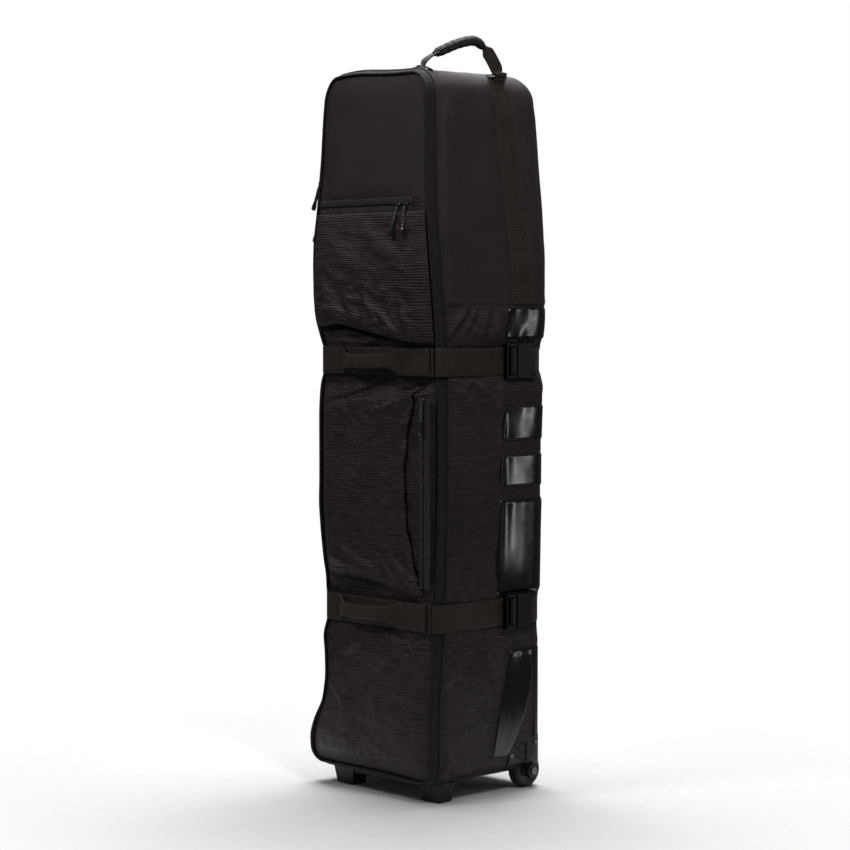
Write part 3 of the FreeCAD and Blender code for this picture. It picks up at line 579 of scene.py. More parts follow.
RUBBER = plastic("wheel_rubber", (0.0125, 0.0115, 0.0110), 0.55, 0.00015, 0.4)
HUB = plastic("hub_plastic", (0.0100, 0.0095, 0.0095), 0.42)
STEEL = steel("dark_zinc", (0.16, 0.155, 0.15), 0.30)
ENAMEL = plastic("slider_enamel", (0.0080, 0.0078, 0.0080), 0.22, 0.00002, 0.6, 0.3)
CORD = speckled_cord("pull_cord")
TIP = plastic("pull_tip", (0.0100, 0.0100, 0.0105), 0.16, 0.00002, 0.6, 0.5)
GRIP = cloth("grip_cloth", (0.0120, 0.0100, 0.0105), rib=0.0026, gloss=0.22)
BOARD = plastic("board_plastic", (0.030, 0.030, 0.032), 0.6, 0.0002, 0.3)

# ---------------------------------------------------------------- the shell
SIDE_FOLDS = [
    # (line of (y, z)), width mm, height mm, lean
    ([(-.058, .884), (-.070, .866), (-.103, .834), (-.118, .812)], 7, 4.5, .6),
    ([(-.040, .884), (-.052, .858), (-.078, .818)], 6, 3.0, .5),
    ([(-.012, .884), (-.020, .852), (-.034, .816)], 8, 2.8, .4),
    ([(-.096, .880), (-.112, .862), (-.122, .850)], 5, -2.5, 0),
    ([(.016, .884), (.012, .850), (.004, .815)], 8, 2.2, .5),
    ([(-.118, .758), (-.082, .752), (-.056, .743), (-.068, .729), (-.090, .731)], 5, 2.4, .5),
    ([(-.100, .745), (-.050, .715), (-.020, .660)], 10, 2.4, .4),
    ([(-.060, .758), (-.020, .735), (.010, .700)], 8, 2.2, .4),
    ([(.022, .752), (.020, .640), (.018, .500), (.024, .400)], 7, 2.2, .6),
    ([(-.095, .440), (-.080, .400), (-.062, .362)], 7, 3.4, .7),
    ([(-.060, .430), (-.040, .395), (-.025, .362)], 7, 2.6, .6),
    ([(-.125, .400), (-.105, .380), (-.090, .362)], 5, 2.6, .5),
    ([(.000, .450), (.004, .405), (.012, .364)], 8, 2.2, .5),
    ([(-.056, .306), (-.046, .272), (-.030, .236), (-.004, .186)], 7, 4.6, .8),
    ([(-.069, .304), (-.098, .280), (-.130, .268)], 6, 3.6, .7),
    ([(-.072, .250), (-.092, .229), (-.138, .207)], 8, 3.2, .6),
    ([(-.030, .306), (-.010, .270), (.010, .240)], 6, 3.0, .6),
    ([(-.092, .306), (-.110, .296), (-.130, .292)], 4, 2.2, .5),
    ([(-.148, .098), (-.128, .074), (-.108, .054), (-.092, .038)], 5, 4.0, .9),
    ([(-.120, .150), (-.100, .130), (-.060, .118)], 14, 1.6, .3),
]


def side_relief(y, z, seed):
    """How far the side stands out from its flat form; y runs on round the back corner."""
    from_zip = y - FRONT(z) - MOUTH_DEPTH
    upper = step(z, SEAM_Z - .003, SEAM_Z + .003)
    crown = 1 - step(z, 1.215, 1.262)
    relief = upper * crown * (.0046 * bump(from_zip, .021, .011) + .0022 * step(from_zip, 0, .02)
                              - .0020 * bump(from_zip, .062, .03))
    relief += upper * .0012 * noise_field(y, z, seed, .09)
    lower = 1 - upper
    across = np.clip(np.sin(np.pi * np.clip((y + .125) / .27, 0, 1)), 0, 1) ** .6
    for low, high, height in ((.36, .76, .005), (.06, .31, .006), (.81, .885, .004)):
        t = np.clip((z - low) / (high - low), 0, 1)
        relief += lower * across * height * np.sin(np.pi * t) ** .5
    strap = bump(z, UPPER_STRAP, .020) + bump(z, LOWER_STRAP, .020)
    relief -= .0030 * strap * step(from_zip, .0, .03)
    near = np.exp(-np.abs(z - UPPER_STRAP) / .055) + np.exp(-np.abs(z - LOWER_STRAP) / .070)
    a, b = turned(y, z, 70, 2.2)
    creases = ridged(a, b, seed + 3.1, .055)
    film = bump(z, .45, .11) + bump(z, .59, .03) + bump(z, .675, .03) + bump(z, .855, .025)
    calm = 1 - .85 * np.clip(film + bump(z, .18, .07), 0, 1) * step(y, .010, .030)
    relief += lower * calm * (.0034 * near + .0008) * (creases - .4) * (1 - .7 * strap)
    relief += lower * calm * .0010 * noise_field(y, z, seed + 9, .035)
    relief += lower * calm * 1.6 * folds(y, z, SIDE_FOLDS) * (1 - .85 * strap)
    relief -= .0016 * bump(z, SEAM_Z, .0022)
    relief += .0009 * upper * bump(z, SEAM_Z + .004, .003)
    return relief


def shell_grid():
    """The whole outer face of the shell: round the outline, and from the zip to the back."""
    rows, lengths, total = outline()
    x, z, nx, nz = (rows[:, k][:, None] for k in range(4))
    radius = .034 * nx ** 2 + np.where(nz > 0, .050, .022) * nz ** 2
    radius = np.minimum(radius, .026 + step(z, .050, .110) * .030)
    corner = np.abs(nx * nz)[:, 0] > .01
    room = np.where(nz[corner, 0] > 0, R_HIGH, R_LOW) - .003
    apart = np.abs(lengths[:, None] - lengths[corner])
    apart = np.minimum(apart, total - apart)
    radius = np.minimum(radius, (room + .5 * apart).min(1)[:, None])
    mouth = FRONT(z) + MOUTH_DEPTH
    flat = np.linspace(0, 1, 50)[None]
    turn = np.linspace(0, np.pi / 2, 11)[1:][None]
    inward = np.linspace(0, 1, 16)[1:][None]
    ys = [mouth + (BACK - radius - mouth) * flat, BACK - radius + radius * np.sin(turn),
          BACK + 0 * inward * mouth]
    insets = [0 * flat * mouth, radius * (1 - np.cos(turn)), radius + 0 * inward]
    y, inset = np.concatenate(ys, axis=1), np.concatenate(insets, axis=1)
    px, pz = x - nx * inset, z - nz * inset
    spine = np.concatenate([np.zeros((1, 60)), inward], axis=1)
    spine_z = np.clip(pz, LOW + .15, HIGH - .17)
    px, pz = px * (1 - spine), pz + (spine_z - pz) * spine
    unrolled = np.concatenate([ys[0], BACK - radius + radius * turn,
                               BACK + .0 * radius + .57 * radius + (HALF - .03) * inward], axis=1)
    points = warp(np.stack([px, y, pz], axis=-1))
    normal = grid_normals(points, wrap_rows=True)
    normal *= np.sign(np.sum(normal[:, 10] * np.concatenate([nx, 0 * nx, nz], axis=1), axis=1)
                      )[:, None, None]
    right, left = np.clip(nx, 0, 1) ** 2, np.clip(-nx, 0, 1) ** 2
    flatness = 1 - step(unrolled, BACK + .02, BACK + .05)
    relief = (right * side_relief(unrolled, pz, 1.0) + left * side_relief(unrolled, pz, 5.0)
              ) * flatness
    cover = np.clip(np.abs(nz), 0, 1) ** 2
    relief = relief + cover * .0015 * noise_field(px, y, 11.0, .08) * flatness
    back = step(unrolled, BACK + .01, BACK + .06)
    relief = relief + back * (.004 * np.sin(np.pi * np.clip(spine, 0, .98)) ** .5
                              + .0012 * noise_field(px, pz, 17.0, .10)
                              - .0016 * bump(spine, .12, .012))
    relief = relief * step(unrolled - mouth, -.001, .006)
    normal = unit(normal * (1 - back[..., None]) + np.array([0, 1.0, 0]) * back[..., None])
    points = points + normal * relief[..., None]
    uv = np.stack([unrolled, lengths[:, None] + 0 * unrolled], axis=-1)
    return points, normal, uv, unrolled, lengths, total


SHELL, SHELL_NORMAL, SHELL_UV, UNROLLED, AROUND, ALL_ROUND = shell_grid()
BOTTOM_HALF = HALF - R_LOW + R_LOW * math.pi / 2        # from the middle of the bottom to a side


def on_shell(s, y, lift=0.0, left=False):
    """A point and normal on the shell's face: s along the outline from the middle of the bottom,
    y as it runs on round the back corner. left takes the same place on the left-hand side."""
    s, y = np.broadcast_arrays(np.asarray(s, float), np.asarray(y, float))
    where = ALL_ROUND - s if left else s
    row = np.interp(where.ravel(), np.append(AROUND, ALL_ROUND), np.arange(len(AROUND) + 1))
    out, up = [], []
    for r, yy in zip(row, y.ravel()):
        i = int(r) % len(AROUND)
        j, f = (i + 1) % len(AROUND), r - int(r)
        line = UNROLLED[i] * (1 - f) + UNROLLED[j] * f
        c = np.interp(yy, line, np.arange(len(line)))
        k = min(int(c), len(line) - 2)
        g = c - k
        cell = ((i, k, (1 - f) * (1 - g)), (i, k + 1, (1 - f) * g), (j, k, f * (1 - g)),
                (j, k + 1, f * g))
        out.append(sum(SHELL[a, b] * w for a, b, w in cell))
        up.append(sum(SHELL_NORMAL[a, b] * w for a, b, w in cell))
    up = unit(np.array(up))
    points = np.array(out) + up * np.broadcast_to(lift, s.shape).ravel()[:, None]
    return points.reshape(*s.shape, 3), up.reshape(*s.shape, 3)


def side_s(z):
    """The place along the outline of a height on the side."""
    return BOTTOM_HALF + z - LOW - R_LOW


def in_wheel_arch(point):
    return abs(point[0]) > ARCH_X and point[1] > ARCH_Y and point[2] < ARCH_Z


def build_shell():
    rows, cols = SHELL.shape[:2]
    faces, kinds = [], []
    centre = SHELL.reshape(-1, 3)
    for face in quads(rows, cols, wrap_rows=True):
        c = centre[list(face)].mean(0)
        if in_wheel_arch(c):
            continue
        faces.append(face)
        kinds.append(1 if c[2] > SEAM_Z else 0)
    shell = put("shell_fabric", SHELL, faces, [SIDE_CLOTH, TWILL_CLOTH], "case",
                ("top_panel", "bottom_panel", "back_panel", "right_side_upper",
                 "right_side_lower", "left_side_upper", "left_side_lower"),
                SHELL_UV, material_of=kinds)
    add(shell, "SUBSURF", levels=1, render_levels=1)
    inner = (SHELL - SHELL_NORMAL * .0042)[:, ::2]
    places = inner.reshape(-1, 3)
    faces = [f for f in quads(rows, inner.shape[1], wrap_rows=True, flip=True)
             if not in_wheel_arch(places[f[0]])]
    put("shell_lining", inner, faces, LINING, "case", uv=SHELL_UV[:, ::2])
    edge = np.stack([SHELL[:, 0], inner[:, 0]], axis=1)
    put("shell_edge_binding", edge, quads(rows, 2, wrap_rows=True, flip=True), PIPE_CLOTH, "case",
        uv=SHELL_UV[:, :2])


# ---------------------------------------------------------------- the door
DOOR_FOLDS = [
    # the slack cloth between the upper pocket's lip and the strap
    ([(-.140, .836), (-.080, .842), (-.020, .826), (.030, .834)], 6, 4.5, .9),
    ([(-.100, .822), (-.040, .818), (.030, .824), (.080, .816)], 5, 3.5, .8),
    ([(.030, .845), (.080, .832), (.140, .822)], 6, 4.0, .9),
    # under and over the straps
    ([(.146, .748), (.097, .737), (.054, .727), (.012, .708)], 7, -5.0, .8),
    ([(.140, .738), (.090, .722), (.050, .700)], 8, 3.5, .5),
    ([(-.145, .748), (-.125, .744), (-.104, .737)], 8, -5.0, .3),
    ([(-.007, .760), (-.034, .740), (-.079, .727), (-.128, .718)], 7, 3.8, .8),
    ([(-.060, .758), (-.050, .720), (-.070, .680)], 8, 2.6, .6),
    ([(.020, .756), (.030, .715), (.010, .660)], 9, 2.6, .6),
    ([(-.148, .398), (-.084, .392), (-.012, .383), (.034, .377)], 8, -5.5, .8),
    ([(.036, .436), (.080, .408), (.133, .386)], 7, 3.6, .8),
    ([(.000, .440), (.045, .398), (.100, .372)], 6, 2.8, .7),
    ([(-.100, .450), (-.050, .420), (.010, .404)], 9, 3.0, .6),
    ([(-.140, .430), (-.110, .410), (-.070, .402)], 7, 2.6, .5),
    ([(.140, .300), (.094, .289), (.030, .298)], 6, -3.0, .8),
    ([(.100, .300), (.050, .262), (.000, .232)], 9, 3.0, .6),
    ([(.120, .290), (.085, .245), (.050, .215)], 8, 2.4, .6),
    ([(-.135, .205), (-.100, .185), (-.062, .160)], 10, 3.4, .5),
    ([(-.020, .302), (-.050, .270), (-.095, .250)], 9, 2.4, .5),
    ([(-.138, .300), (-.120, .262), (-.126, .225)], 8, -3.0, .5),
    ([(.128, .200), (.100, .190), (.060, .192)], 8, 1.8, .5),
]


def node_points(name):
    """A CAD node's points, measured about the middle of the body."""
    mesh = nodes[name].data
    points = np.zeros(len(mesh.vertices) * 3)
    mesh.vertices.foreach_get("co", points)
    return points.reshape(-1, 3) - [0, BODY_Y, 0]


MIDDLE_ZIP_Y = node_points("middle_slider")[:, 1].max() + .0018
UPPER_ZIP_Y = node_points("pocket_slider_left")[:, 1].max()


def door_half_width(z):
    low, high = LOW + DOOR_INSET, HIGH - DOOR_INSET
    r_low, r_high = R_LOW - DOOR_INSET, R_HIGH - DOOR_INSET
    half = HALF - DOOR_INSET
    up = np.clip((low + r_low - z) / r_low, 0, 1)
    down = np.clip((z - high + r_high) / r_high, 0, 1)
    return (half - r_low * (1 - np.sqrt(1 - up ** 2)) - r_high * (1 - np.sqrt(1 - down ** 2)))


def door_relief(x, z):
    """How far the door's fabric stands out in front of its flat form."""
    across = np.clip(1 - (np.abs(x) / .150) ** 2.6, 0, 1)
    relief = .0035 * across * between(z, 1.075, 1.30, .02)
    beside = step(.1465 - np.abs(x), 0, .016)
    relief += (FRONT(z) - MIDDLE_ZIP_Y) * beside * between(z, .384, .728, .016)
    relief += .0030 * across * bump(z, .50, .10)
    t = np.clip((z - .045) / .268, 0, 1)
    relief += .0150 * across ** .8 * np.sin(np.pi * t ** .8) ** .6
    relief += .0060 * bump(z, .085, .04) * bump(x, -.08, .08)
    relief -= .0070 * bump(x, -.075, .055) * bump(z, .215, .05)
    strap = bump(z, UPPER_STRAP, .024) + bump(z, LOWER_STRAP, .024)
    relief *= 1 - np.clip(strap, 0, 1)
    near = np.exp(-np.abs(z - UPPER_STRAP) / .050) + np.exp(-np.abs(z - LOWER_STRAP) / .065)
    a, b = turned(x, z, 60, 2.0)
    creases = ridged(a, b, 21.3, .060)
    plain = 1 - between(z, 1.075, 1.4, .01)
    relief += plain * (.0044 * near + .0012) * (creases - .4) * (1 - .8 * strap)
    relief += (.0006 + .0010 * plain) * noise_field(x, z, 31.0, .05)
    a, b = turned(x, z, -30, 2.4)
    relief += plain * .0016 * (ridged(a, b, 57.0, .045) - .4) * (1 - np.clip(strap, 0, 1))
    relief += 1.7 * folds(x, z, DOOR_FOLDS) * (1 - .85 * np.clip(strap, 0, 1))
    return relief


def door_point(x, z, lift=0.0):
    """A point on the door's face, before the warp is applied by the caller."""
    low, high = LOW + DOOR_INSET, HIGH - DOOR_INSET
    edge = np.minimum(np.minimum(door_half_width(z) - np.abs(x), z - low), high - z)
    tuck = .0042 * np.exp(-np.clip(edge, 0, 1) / .0045)
    out = door_relief(x, z) * step(edge, 0, .030)
    return np.stack([x, FRONT(z) - out + tuck - lift, z], axis=-1)


def door_rows():
    low, high = LOW + DOOR_INSET, HIGH - DOOR_INSET
    r_low, r_high = R_LOW - DOOR_INSET, R_HIGH - DOOR_INSET
    bend = np.linspace(0, np.pi / 2, 9)
    return np.concatenate([low + r_low * (1 - np.cos(bend)),
                           np.linspace(low + r_low, high - r_high, 236)[1:-1],
                           high - r_high + r_high * np.sin(bend)])


def build_door():
    z = door_rows()[:, None]
    x = door_half_width(z) * np.linspace(-1, 1, 61)[None]
    z = z + 0 * x
    points = warp(door_point(x, z))
    rows, cols = x.shape
    uv = np.stack([x, z], axis=-1)
    faces = quads(rows, cols)
    kinds = [1 if z.ravel()[f[0]] > 1.066 else 0 for f in faces]
    door = put("door_fabric", points, faces, [DOOR_CLOTH, PANEL_CLOTH], "door", ("door_panel",),
               uv, material_of=kinds)
    add(door, "SUBSURF", levels=1, render_levels=1)
    inner = points[::2, ::2] + [0, .0075, 0]
    put("door_lining", inner, quads(*inner.shape[:2], flip=True), LINING, "door", uv=uv[::2, ::2])


# ---------------------------------------------------------------- main zip and piping
def around(section):
    """Carries a cross-section of (outward, depth) pairs round the case's outline."""
    rows, lengths, _ = outline()
    section = np.asarray(section, float)
    x, z, nx, nz = (rows[:, k][:, None] for k in range(4))
    out, depth = section[:, 0][None], section[:, 1][None]
    points = warp(np.stack([x + nx * out, FRONT(z) + depth, z + nz * out], axis=-1))
    length = np.concatenate([[0], np.cumsum(np.hypot(*np.diff(section, axis=0).T))])
    uv = np.stack([length[None] + 0 * x, lengths[:, None] + 0 * out], axis=-1)
    return points, uv, quads(len(rows), len(section), wrap_rows=True, wrap_cols=True, flip=True)


def circle(centre, radius):
    turn = np.linspace(0, 2 * np.pi, 10, endpoint=False)
    return [(centre[0] + radius * math.cos(t), centre[1] - radius * math.sin(t)) for t in turn]


HUMP_FACES = [(0, 3, 2, 1), (4, 5, 6, 7), (0, 1, 5, 4), (1, 2, 6, 5), (2, 3, 7, 6), (3, 0, 4, 7)]


def humps(name, centre, axes, size, top, body):
    """A row of small four-sided humps, one on each centre.

    axes are along the row, across it and outwards, size is half of each of a hump's sides, and
    top is how much of its foot's length and width its top has.
    """
    corners = []
    for c, narrow in ((-1, (1, 1)), (1, top)):
        for a, b in ((-1, -1), (1, -1), (1, 1), (-1, 1)):
            steps = (a * narrow[0] * size[0], b * narrow[1] * size[1], c * size[2])
            corners.append(centre + sum(axis * step for axis, step in zip(axes, steps)))
    points = np.stack(corners, axis=1).reshape(-1, 3)
    faces = [tuple(8 * k + i for i in f) for k in range(len(centre)) for f in HUMP_FACES]
    return put(name, points, faces, COIL, body, smooth=False)


def teeth(name, out, depth, shift, body):
    """The coil's humps along one half of the main zip."""
    rows, _, _ = outline(.0026)
    rows = rows[shift::2]
    x, z, nx, nz = (rows[:, k] for k in range(4))
    centre = warp(np.stack([x + nx * out, FRONT(z) + depth, z + nz * out], axis=-1))
    normal = unit(np.stack([nx, 0 * nx, nz], axis=-1))
    along = unit(np.stack([-nz, 0 * nx, nx], axis=-1))
    return humps(name, centre, (along, np.array([0, 1.0, 0]), normal), (.0008, .0016, .0006),
                 (.6, 1), body)


def build_main_zip():
    door_half = [(-.0062, .0026), (-.0040, .0030), (-.0030, .0046), (-.0026, .0066),
                 (-.0028, .0080), (-.0036, .0083), (-.0060, .0080)]
    shell_half = [(-.0036, .0085), (-.0026, .0088), (-.0022, .0104), (-.0016, .0126),
                  (-.0006, .0142), (-.0020, .0156), (-.0060, .0150)]
    for name, section, material, body, node, finish in (
            ("door_piping_cord", circle((-.0068, .0010), .0027), PIPE_CLOTH, "door",
             "door_piping", "piping"),
            ("shell_piping_cord", circle((-.0006, .0166), .0027), PIPE_CLOTH, "case",
             "shell_piping", "piping"),
            ("door_tape_half", door_half, TAPE, "door", "door_zip_tape", "zip_tape"),
            ("shell_tape_half", shell_half, TAPE, "case", "shell_zip_tape", "zip_tape")):
        points, uv, faces = around(section)
        put(name, points, faces, material, body, (node,), uv)
    teeth("door_zip_coil", -.0027, .0074, 0, "door")
    teeth("shell_zip_coil", -.0027, .0094, 1, "case")


# ---------------------------------------------------------------- pockets
POCKET_FOLDS = [
    ([(.036, .836), (.010, .868), (-.012, .905)], 8, 5.5, .9),
    ([(.082, .826), (.050, .852), (.018, .880)], 7, 4.5, .9),
    ([(.118, .822), (.098, .850), (.085, .890)], 7, 3.0, .7),
    ([(-.058, .850), (-.062, .880), (-.085, .915)], 10, -4.0, .5),
    ([(-.110, .856), (-.100, .890), (-.112, .930)], 9, 3.0, .6),
    ([(.100, 1.040), (.085, 1.010), (.095, .975)], 8, 2.0, .5),
    ([(-.020, 1.030), (.030, .985), (.090, .960)], 16, 2.6, .4),
    ([(-.100, 1.000), (-.050, .960), (.000, .950)], 16, 1.8, .4),
]


def build_upper_pocket():
    profile = smooth_path([(.0012, 1.050), (.0040, 1.047), (.0075, 1.020), (.0115, .985),
                           (.0165, .945), (.0210, .905), (.0232, .880), (.0222, .864),
                           (.0170, .852), (.0090, .848), (.0020, .854), (-.0010, .862)], 66)
    low_part = 1 - step(profile[:, 1], .850, .960)
    x = np.linspace(-.1430, .1435, 60)[None]
    out, z = profile[:, 0][:, None] + 0 * x, profile[:, 1][:, None] + 0 * x
    x = x + 0 * out
    slope = step(x, -.10, .12)
    z = z - low_part[:, None] * (.002 + .026 * slope - .006 * bump(x, -.087, .03))
    edge = np.clip(np.minimum(x + .1430, .1435 - x) / .034, 0, 1)
    out = out * np.sqrt(1 - (1 - edge) ** 2) + .0012
    out += 1.5 * folds(x, z, POCKET_FOLDS) * step(out, .002, .008)
    a, b = turned(x, z, 75, 2.0)
    out += (.0014 + .0034 * low_part[:, None]) * (ridged(a, b, 41.0, .055) - .4) * edge
    a, b = turned(x, z, 35, 2.0)
    out += (.0006 + .0016 * low_part[:, None]) * (ridged(a, b, 44.0, .04) - .4) * edge
    out += .0010 * noise_field(x, z, 43.0, .04) * edge
    points = warp(np.stack([x, FRONT(z) - out, z], axis=-1))
    length = np.concatenate([[0], np.cumsum(np.hypot(*np.diff(profile, axis=0).T))])
    uv = np.stack([x, 1.05 - length[:, None] + 0 * x], axis=-1)
    pocket = put("upper_pocket_fabric", points, quads(*x.shape), DOOR_CLOTH, "door",
                 ("upper_pocket",), uv)
    add(pocket, "SOLIDIFY", thickness=.0012, offset=-1)
    add(pocket, "SUBSURF", levels=1, render_levels=1)


POCKET_LIP = smooth_table([(.30, .128), (.383, .120), (.434, .104), (.504, .088), (.574, .083),
                           (.606, .080), (.630, .088), (.650, .085), (.680, .095), (.709, .103),
                           (.760, .108)], 0.008)


def build_middle_pocket():
    z = np.linspace(.372, .742, 90)[:, None]
    t = np.linspace(0, 1, 52)[None]
    lip = POCKET_LIP(z)
    x = -.1400 + (lip + .1400) * t
    z = z + 0 * x
    lift = .0012 + .0052 * step(x, lip - .045, lip - .002)
    lift += .0012 * np.sin(z * 95) * step(x, lip - .03, lip)
    points = warp(door_point(x, z, lift))
    pocket = put("middle_pocket_fabric", points, quads(*x.shape), DOOR_CLOTH, "door",
                 ("middle_pocket",), np.stack([x, z], axis=-1))
    add(pocket, "SOLIDIFY", thickness=.0014, offset=-1)
    add(pocket, "SUBSURF", levels=1, render_levels=1)
    hem = points[:, -3] + [0, -.0006, 0]
    stitches("pocket_lip_stitching", [(hem[2:-2], (0, -1, 0))], "door")


def coil(name, path, across, normal, body):
    """The small humps of a zip's coil along a straight path."""
    path, across, normal = (np.asarray(v, float) for v in (path, across, normal))
    length = np.linalg.norm(path[1] - path[0])
    along = (path[1] - path[0]) / length
    where = np.arange(0, length, COIL_PITCH)[:, None]
    to_side = np.where(np.arange(len(where)) % 2, .0009, -.0009)[:, None]
    centre = path[0] + along * where + across * to_side
    return humps(name, centre, (along, across, normal), (.0009, .0016, .0006), (.5, .9), body)


def build_pocket_zips():
    box_low, box_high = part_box("pocket_slider_left")
    z = (box_low.z + box_high.z) / 2
    y = UPPER_ZIP_Y + .0013
    x = np.linspace(-.1400, .1085, 60)
    rows = []
    for k, (offset, width) in enumerate(((.0075, .0115), (-.0085, .0135))):
        path = np.stack([x, y + .0002 * k + 0 * x, z + offset + .0004 * np.sin(x * 60)], axis=-1)
        points, faces, uv = ribbon_parts(path, (0, 0, 1), width, .0016)
        put(f"upper_zip_tape_{k}", points, faces, TAPE, "door", ("pocket_zips",) if k == 0 else (),
            uv)
        rows.append((path + [0, -.0009, width * (.38 if k == 0 else -.38)], (0, -1, 0)))
    coil("upper_zip_coil", [(-.1405, y + .0002, z), (.1070, y + .0002, z)], (0, 0, 1), (0, -1, 0),
         "door")
    box_low, box_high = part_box("middle_slider")
    x, y = (box_low.x + box_high.x) / 2, MIDDLE_ZIP_Y - .0003
    z = np.linspace(.386, .727, 70)
    for k, side in enumerate((-1, 1)):
        shift, width = ((-.0058, .0092), (.0091, .0158))[k]
        path = np.stack([x + shift + .0005 * np.sin(z * 70), y + 0 * z, z], axis=-1)
        points, faces, uv = ribbon_parts(path, (1, 0, 0), width, .0014)
        put(f"middle_zip_tape_{k}", points, faces, TAPE, "door", (), uv)
        rows.append((path + [side * (width / 2 - .0012), -.0008, 0], (0, -1, 0)))
    coil("middle_zip_coil", [(x, y, .388), (x, y, .724)], (1, 0, 0), (0, -1, 0), "door")
    stitches("pocket_zip_stitching", rows, "door")


# ---------------------------------------------------------------- straps across the door
def strap_face(z):
    points = node_points("front_straps")
    return points[np.abs(points[:, 2] - z) < .03][:, 1].min()


def box_stitches(x0, x1, z0, z1, y):
    """A sewn box with a cross in it, facing the front."""
    def line(a, b):
        t = np.linspace(0, 1, 12)[:, None]
        return np.array([a[0], y, a[1]]) * (1 - t) + np.array([b[0], y, b[1]]) * t
    corners = [(x0, z0), (x1, z0), (x1, z1), (x0, z1)]
    runs = list(zip(corners, corners[1:] + corners[:1])) + [((x0, z0), (x1, z1)),
                                                           ((x0, z1), (x1, z0))]
    return [(line(a, b), (0, -1, 0)) for a, b in runs]


def build_straps():
    rows = []
    for name, z in (("upper", UPPER_STRAP), ("lower", LOWER_STRAP)):
        face = strap_face(z)
        x = np.linspace(-.147, .1445, 70)
        path = warp(np.stack([x, face + .0010 + .0004 * np.sin(x * 38), z + 0 * x], axis=-1))
        path[:, 1] = np.minimum(path[:, 1], face + .0012)
        webbing(name + "_front_webbing", path, (0, 0, 1), .050, .0020, "door",
                ("front_straps",) if name == "upper" else ())
        edge = path + [0, -.0011, 0]
        rows += [(edge[20:] + [0, 0, side * .0218], (0, -1, 0)) for side in (-1, 1)]

        # the strap's left-hand end goes round the hinge edge and is sewn to the side
        start = warp(np.array([[-.146, face + .001, z]]))[0]
        turn = warp(np.array([[-.1585, face + .006, z], [-.1590, face + .020, z],
                              [-.1575, face + .050, z], [-.1575, face + .092, z]]))
        path = smooth_path(np.vstack([start, turn]), 44)
        piece = webbing(name + "_left_wrap", path, (0, 0, 1), .050, .0020, "case")
        piece.parent = None
        if name == "upper":
            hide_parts("strap_anchors")
        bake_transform(piece)

        # the grab handle: wide where it is sewn, folded narrow where the hand goes
        y = face - .0017
        bow = .017
        line = [(-.116, y), (-.096, y - .0004), (-.078, y - .55 * bow), (-.060, y - bow),
                (-.020, y - bow - .002), (.020, y - bow), (.046, y - .5 * bow), (.066, y - .0006),
                (.100, y), (.133, y)]
        flat = smooth_path(line, 110)
        path = np.stack([flat[:, 0], flat[:, 1], z + .0008 * np.sin(flat[:, 0] * 50)], axis=-1)
        narrow = between(flat[:, 0], -.084, .050, .014)
        width = .050 - .024 * narrow
        webbing(name + "_grab_webbing", path, (0, 0, 1), width, .0030 + .0030 * narrow, "door",
                ("grab_handles",) if name == "upper" else ())
        for left, right in ((-.114, -.098), (.074, .108), (.110, .130)):
            rows += box_stitches(left, right, z - .021, z + .021, y - .0018)
        middle = (flat[:, 0] > -.070) & (flat[:, 0] < .036)
        for side in (-1, 1):
            rows.append((path[middle] + [0, -.0033, side * .0098], (0, -1, 0)))
        end = np.array([[.1335, y - .0010, z - .0245], [.1340, y - .0012, z],
                        [.1335, y - .0010, z + .0245]])
        points, faces = tube_parts(smooth_path(end, 16), .0014, 8)
        put(name + "_grab_end_fold", points, faces, PIPE_CLOTH, "door")
    stitches("strap_stitching", rows, "door")


def build_tails():
    for name, z in (("upper", UPPER_STRAP), ("lower", LOWER_STRAP)):
        cad = node_points(name + "_strap_webbing")
        plug_low = node_points(name + "_buckle_plug")[:, 1].min()
        face, side = cad[:, 1].min() + .001, cad[:, 0].max() - .001
        line = [(cad[:, 0].min() - .002, face), (.1525, face + .0001), (.1560, face + .0036),
                (side, face + .0110), (side + .0006, face + .045), (side - .0002, face + .095),
                (side + .0002, plug_low - .006), (side + .0002, plug_low + .024)]
        flat = smooth_path(line, 90)
        sag = .0012 * np.sin(np.linspace(0, np.pi, 90))
        path = np.stack([flat[:, 0], flat[:, 1], z - sag], axis=-1)
        webbing(name + "_tail_webbing", path, (0, 0, 1), .050, .0020, name + "_strap_tail",
                (name + "_strap_webbing",))
        # the free end turned back over the ladder bar
        back = smooth_path([(side + .0006, plug_low + .010), (side + .0085, plug_low + .0135),
                            (side + .0125, plug_low + .0155), (side + .0105, plug_low + .0205),
                            (side + .0010, plug_low + .0235)], 30)
        path = np.stack([back[:, 0], back[:, 1], z + 0 * back[:, 0]], axis=-1)
        webbing(name + "_ladder_webbing", path, (0, 0, 1), .047, .0018, name + "_strap_tail")


def build_buckle_tabs():
    rows = []
    for name, z in (("upper", UPPER_STRAP), ("lower", LOWER_STRAP)):
        socket = node_points(name + "_buckle_socket")
        x, end = socket[:, 0].max(), socket[:, 1].max()
        foot, _ = on_shell(side_s(z), np.array([.132, .145, .160, .174]), .0018)
        line = np.vstack([[x - .0075, end - .0115, z], [x - .0020, end - .0125, z],
                          [x + .0012, end - .0085, z], [x + .0008, end - .0030, z],
                          [x - .0060, end + .0050, z], foot])
        path = smooth_path(line, 60)
        path[:, 2] = z
        webbing(name + "_tab_webbing", path, (0, 0, 1), .048, .0022, "case",
                ("buckle_tabs",) if name == "upper" else ())
        for side in (-1, 1):
            rows.append((path[34:] + [.0011, .0005, side * .020], (.8, .6, 0)))
    stitches("tab_stitching", rows, "case")


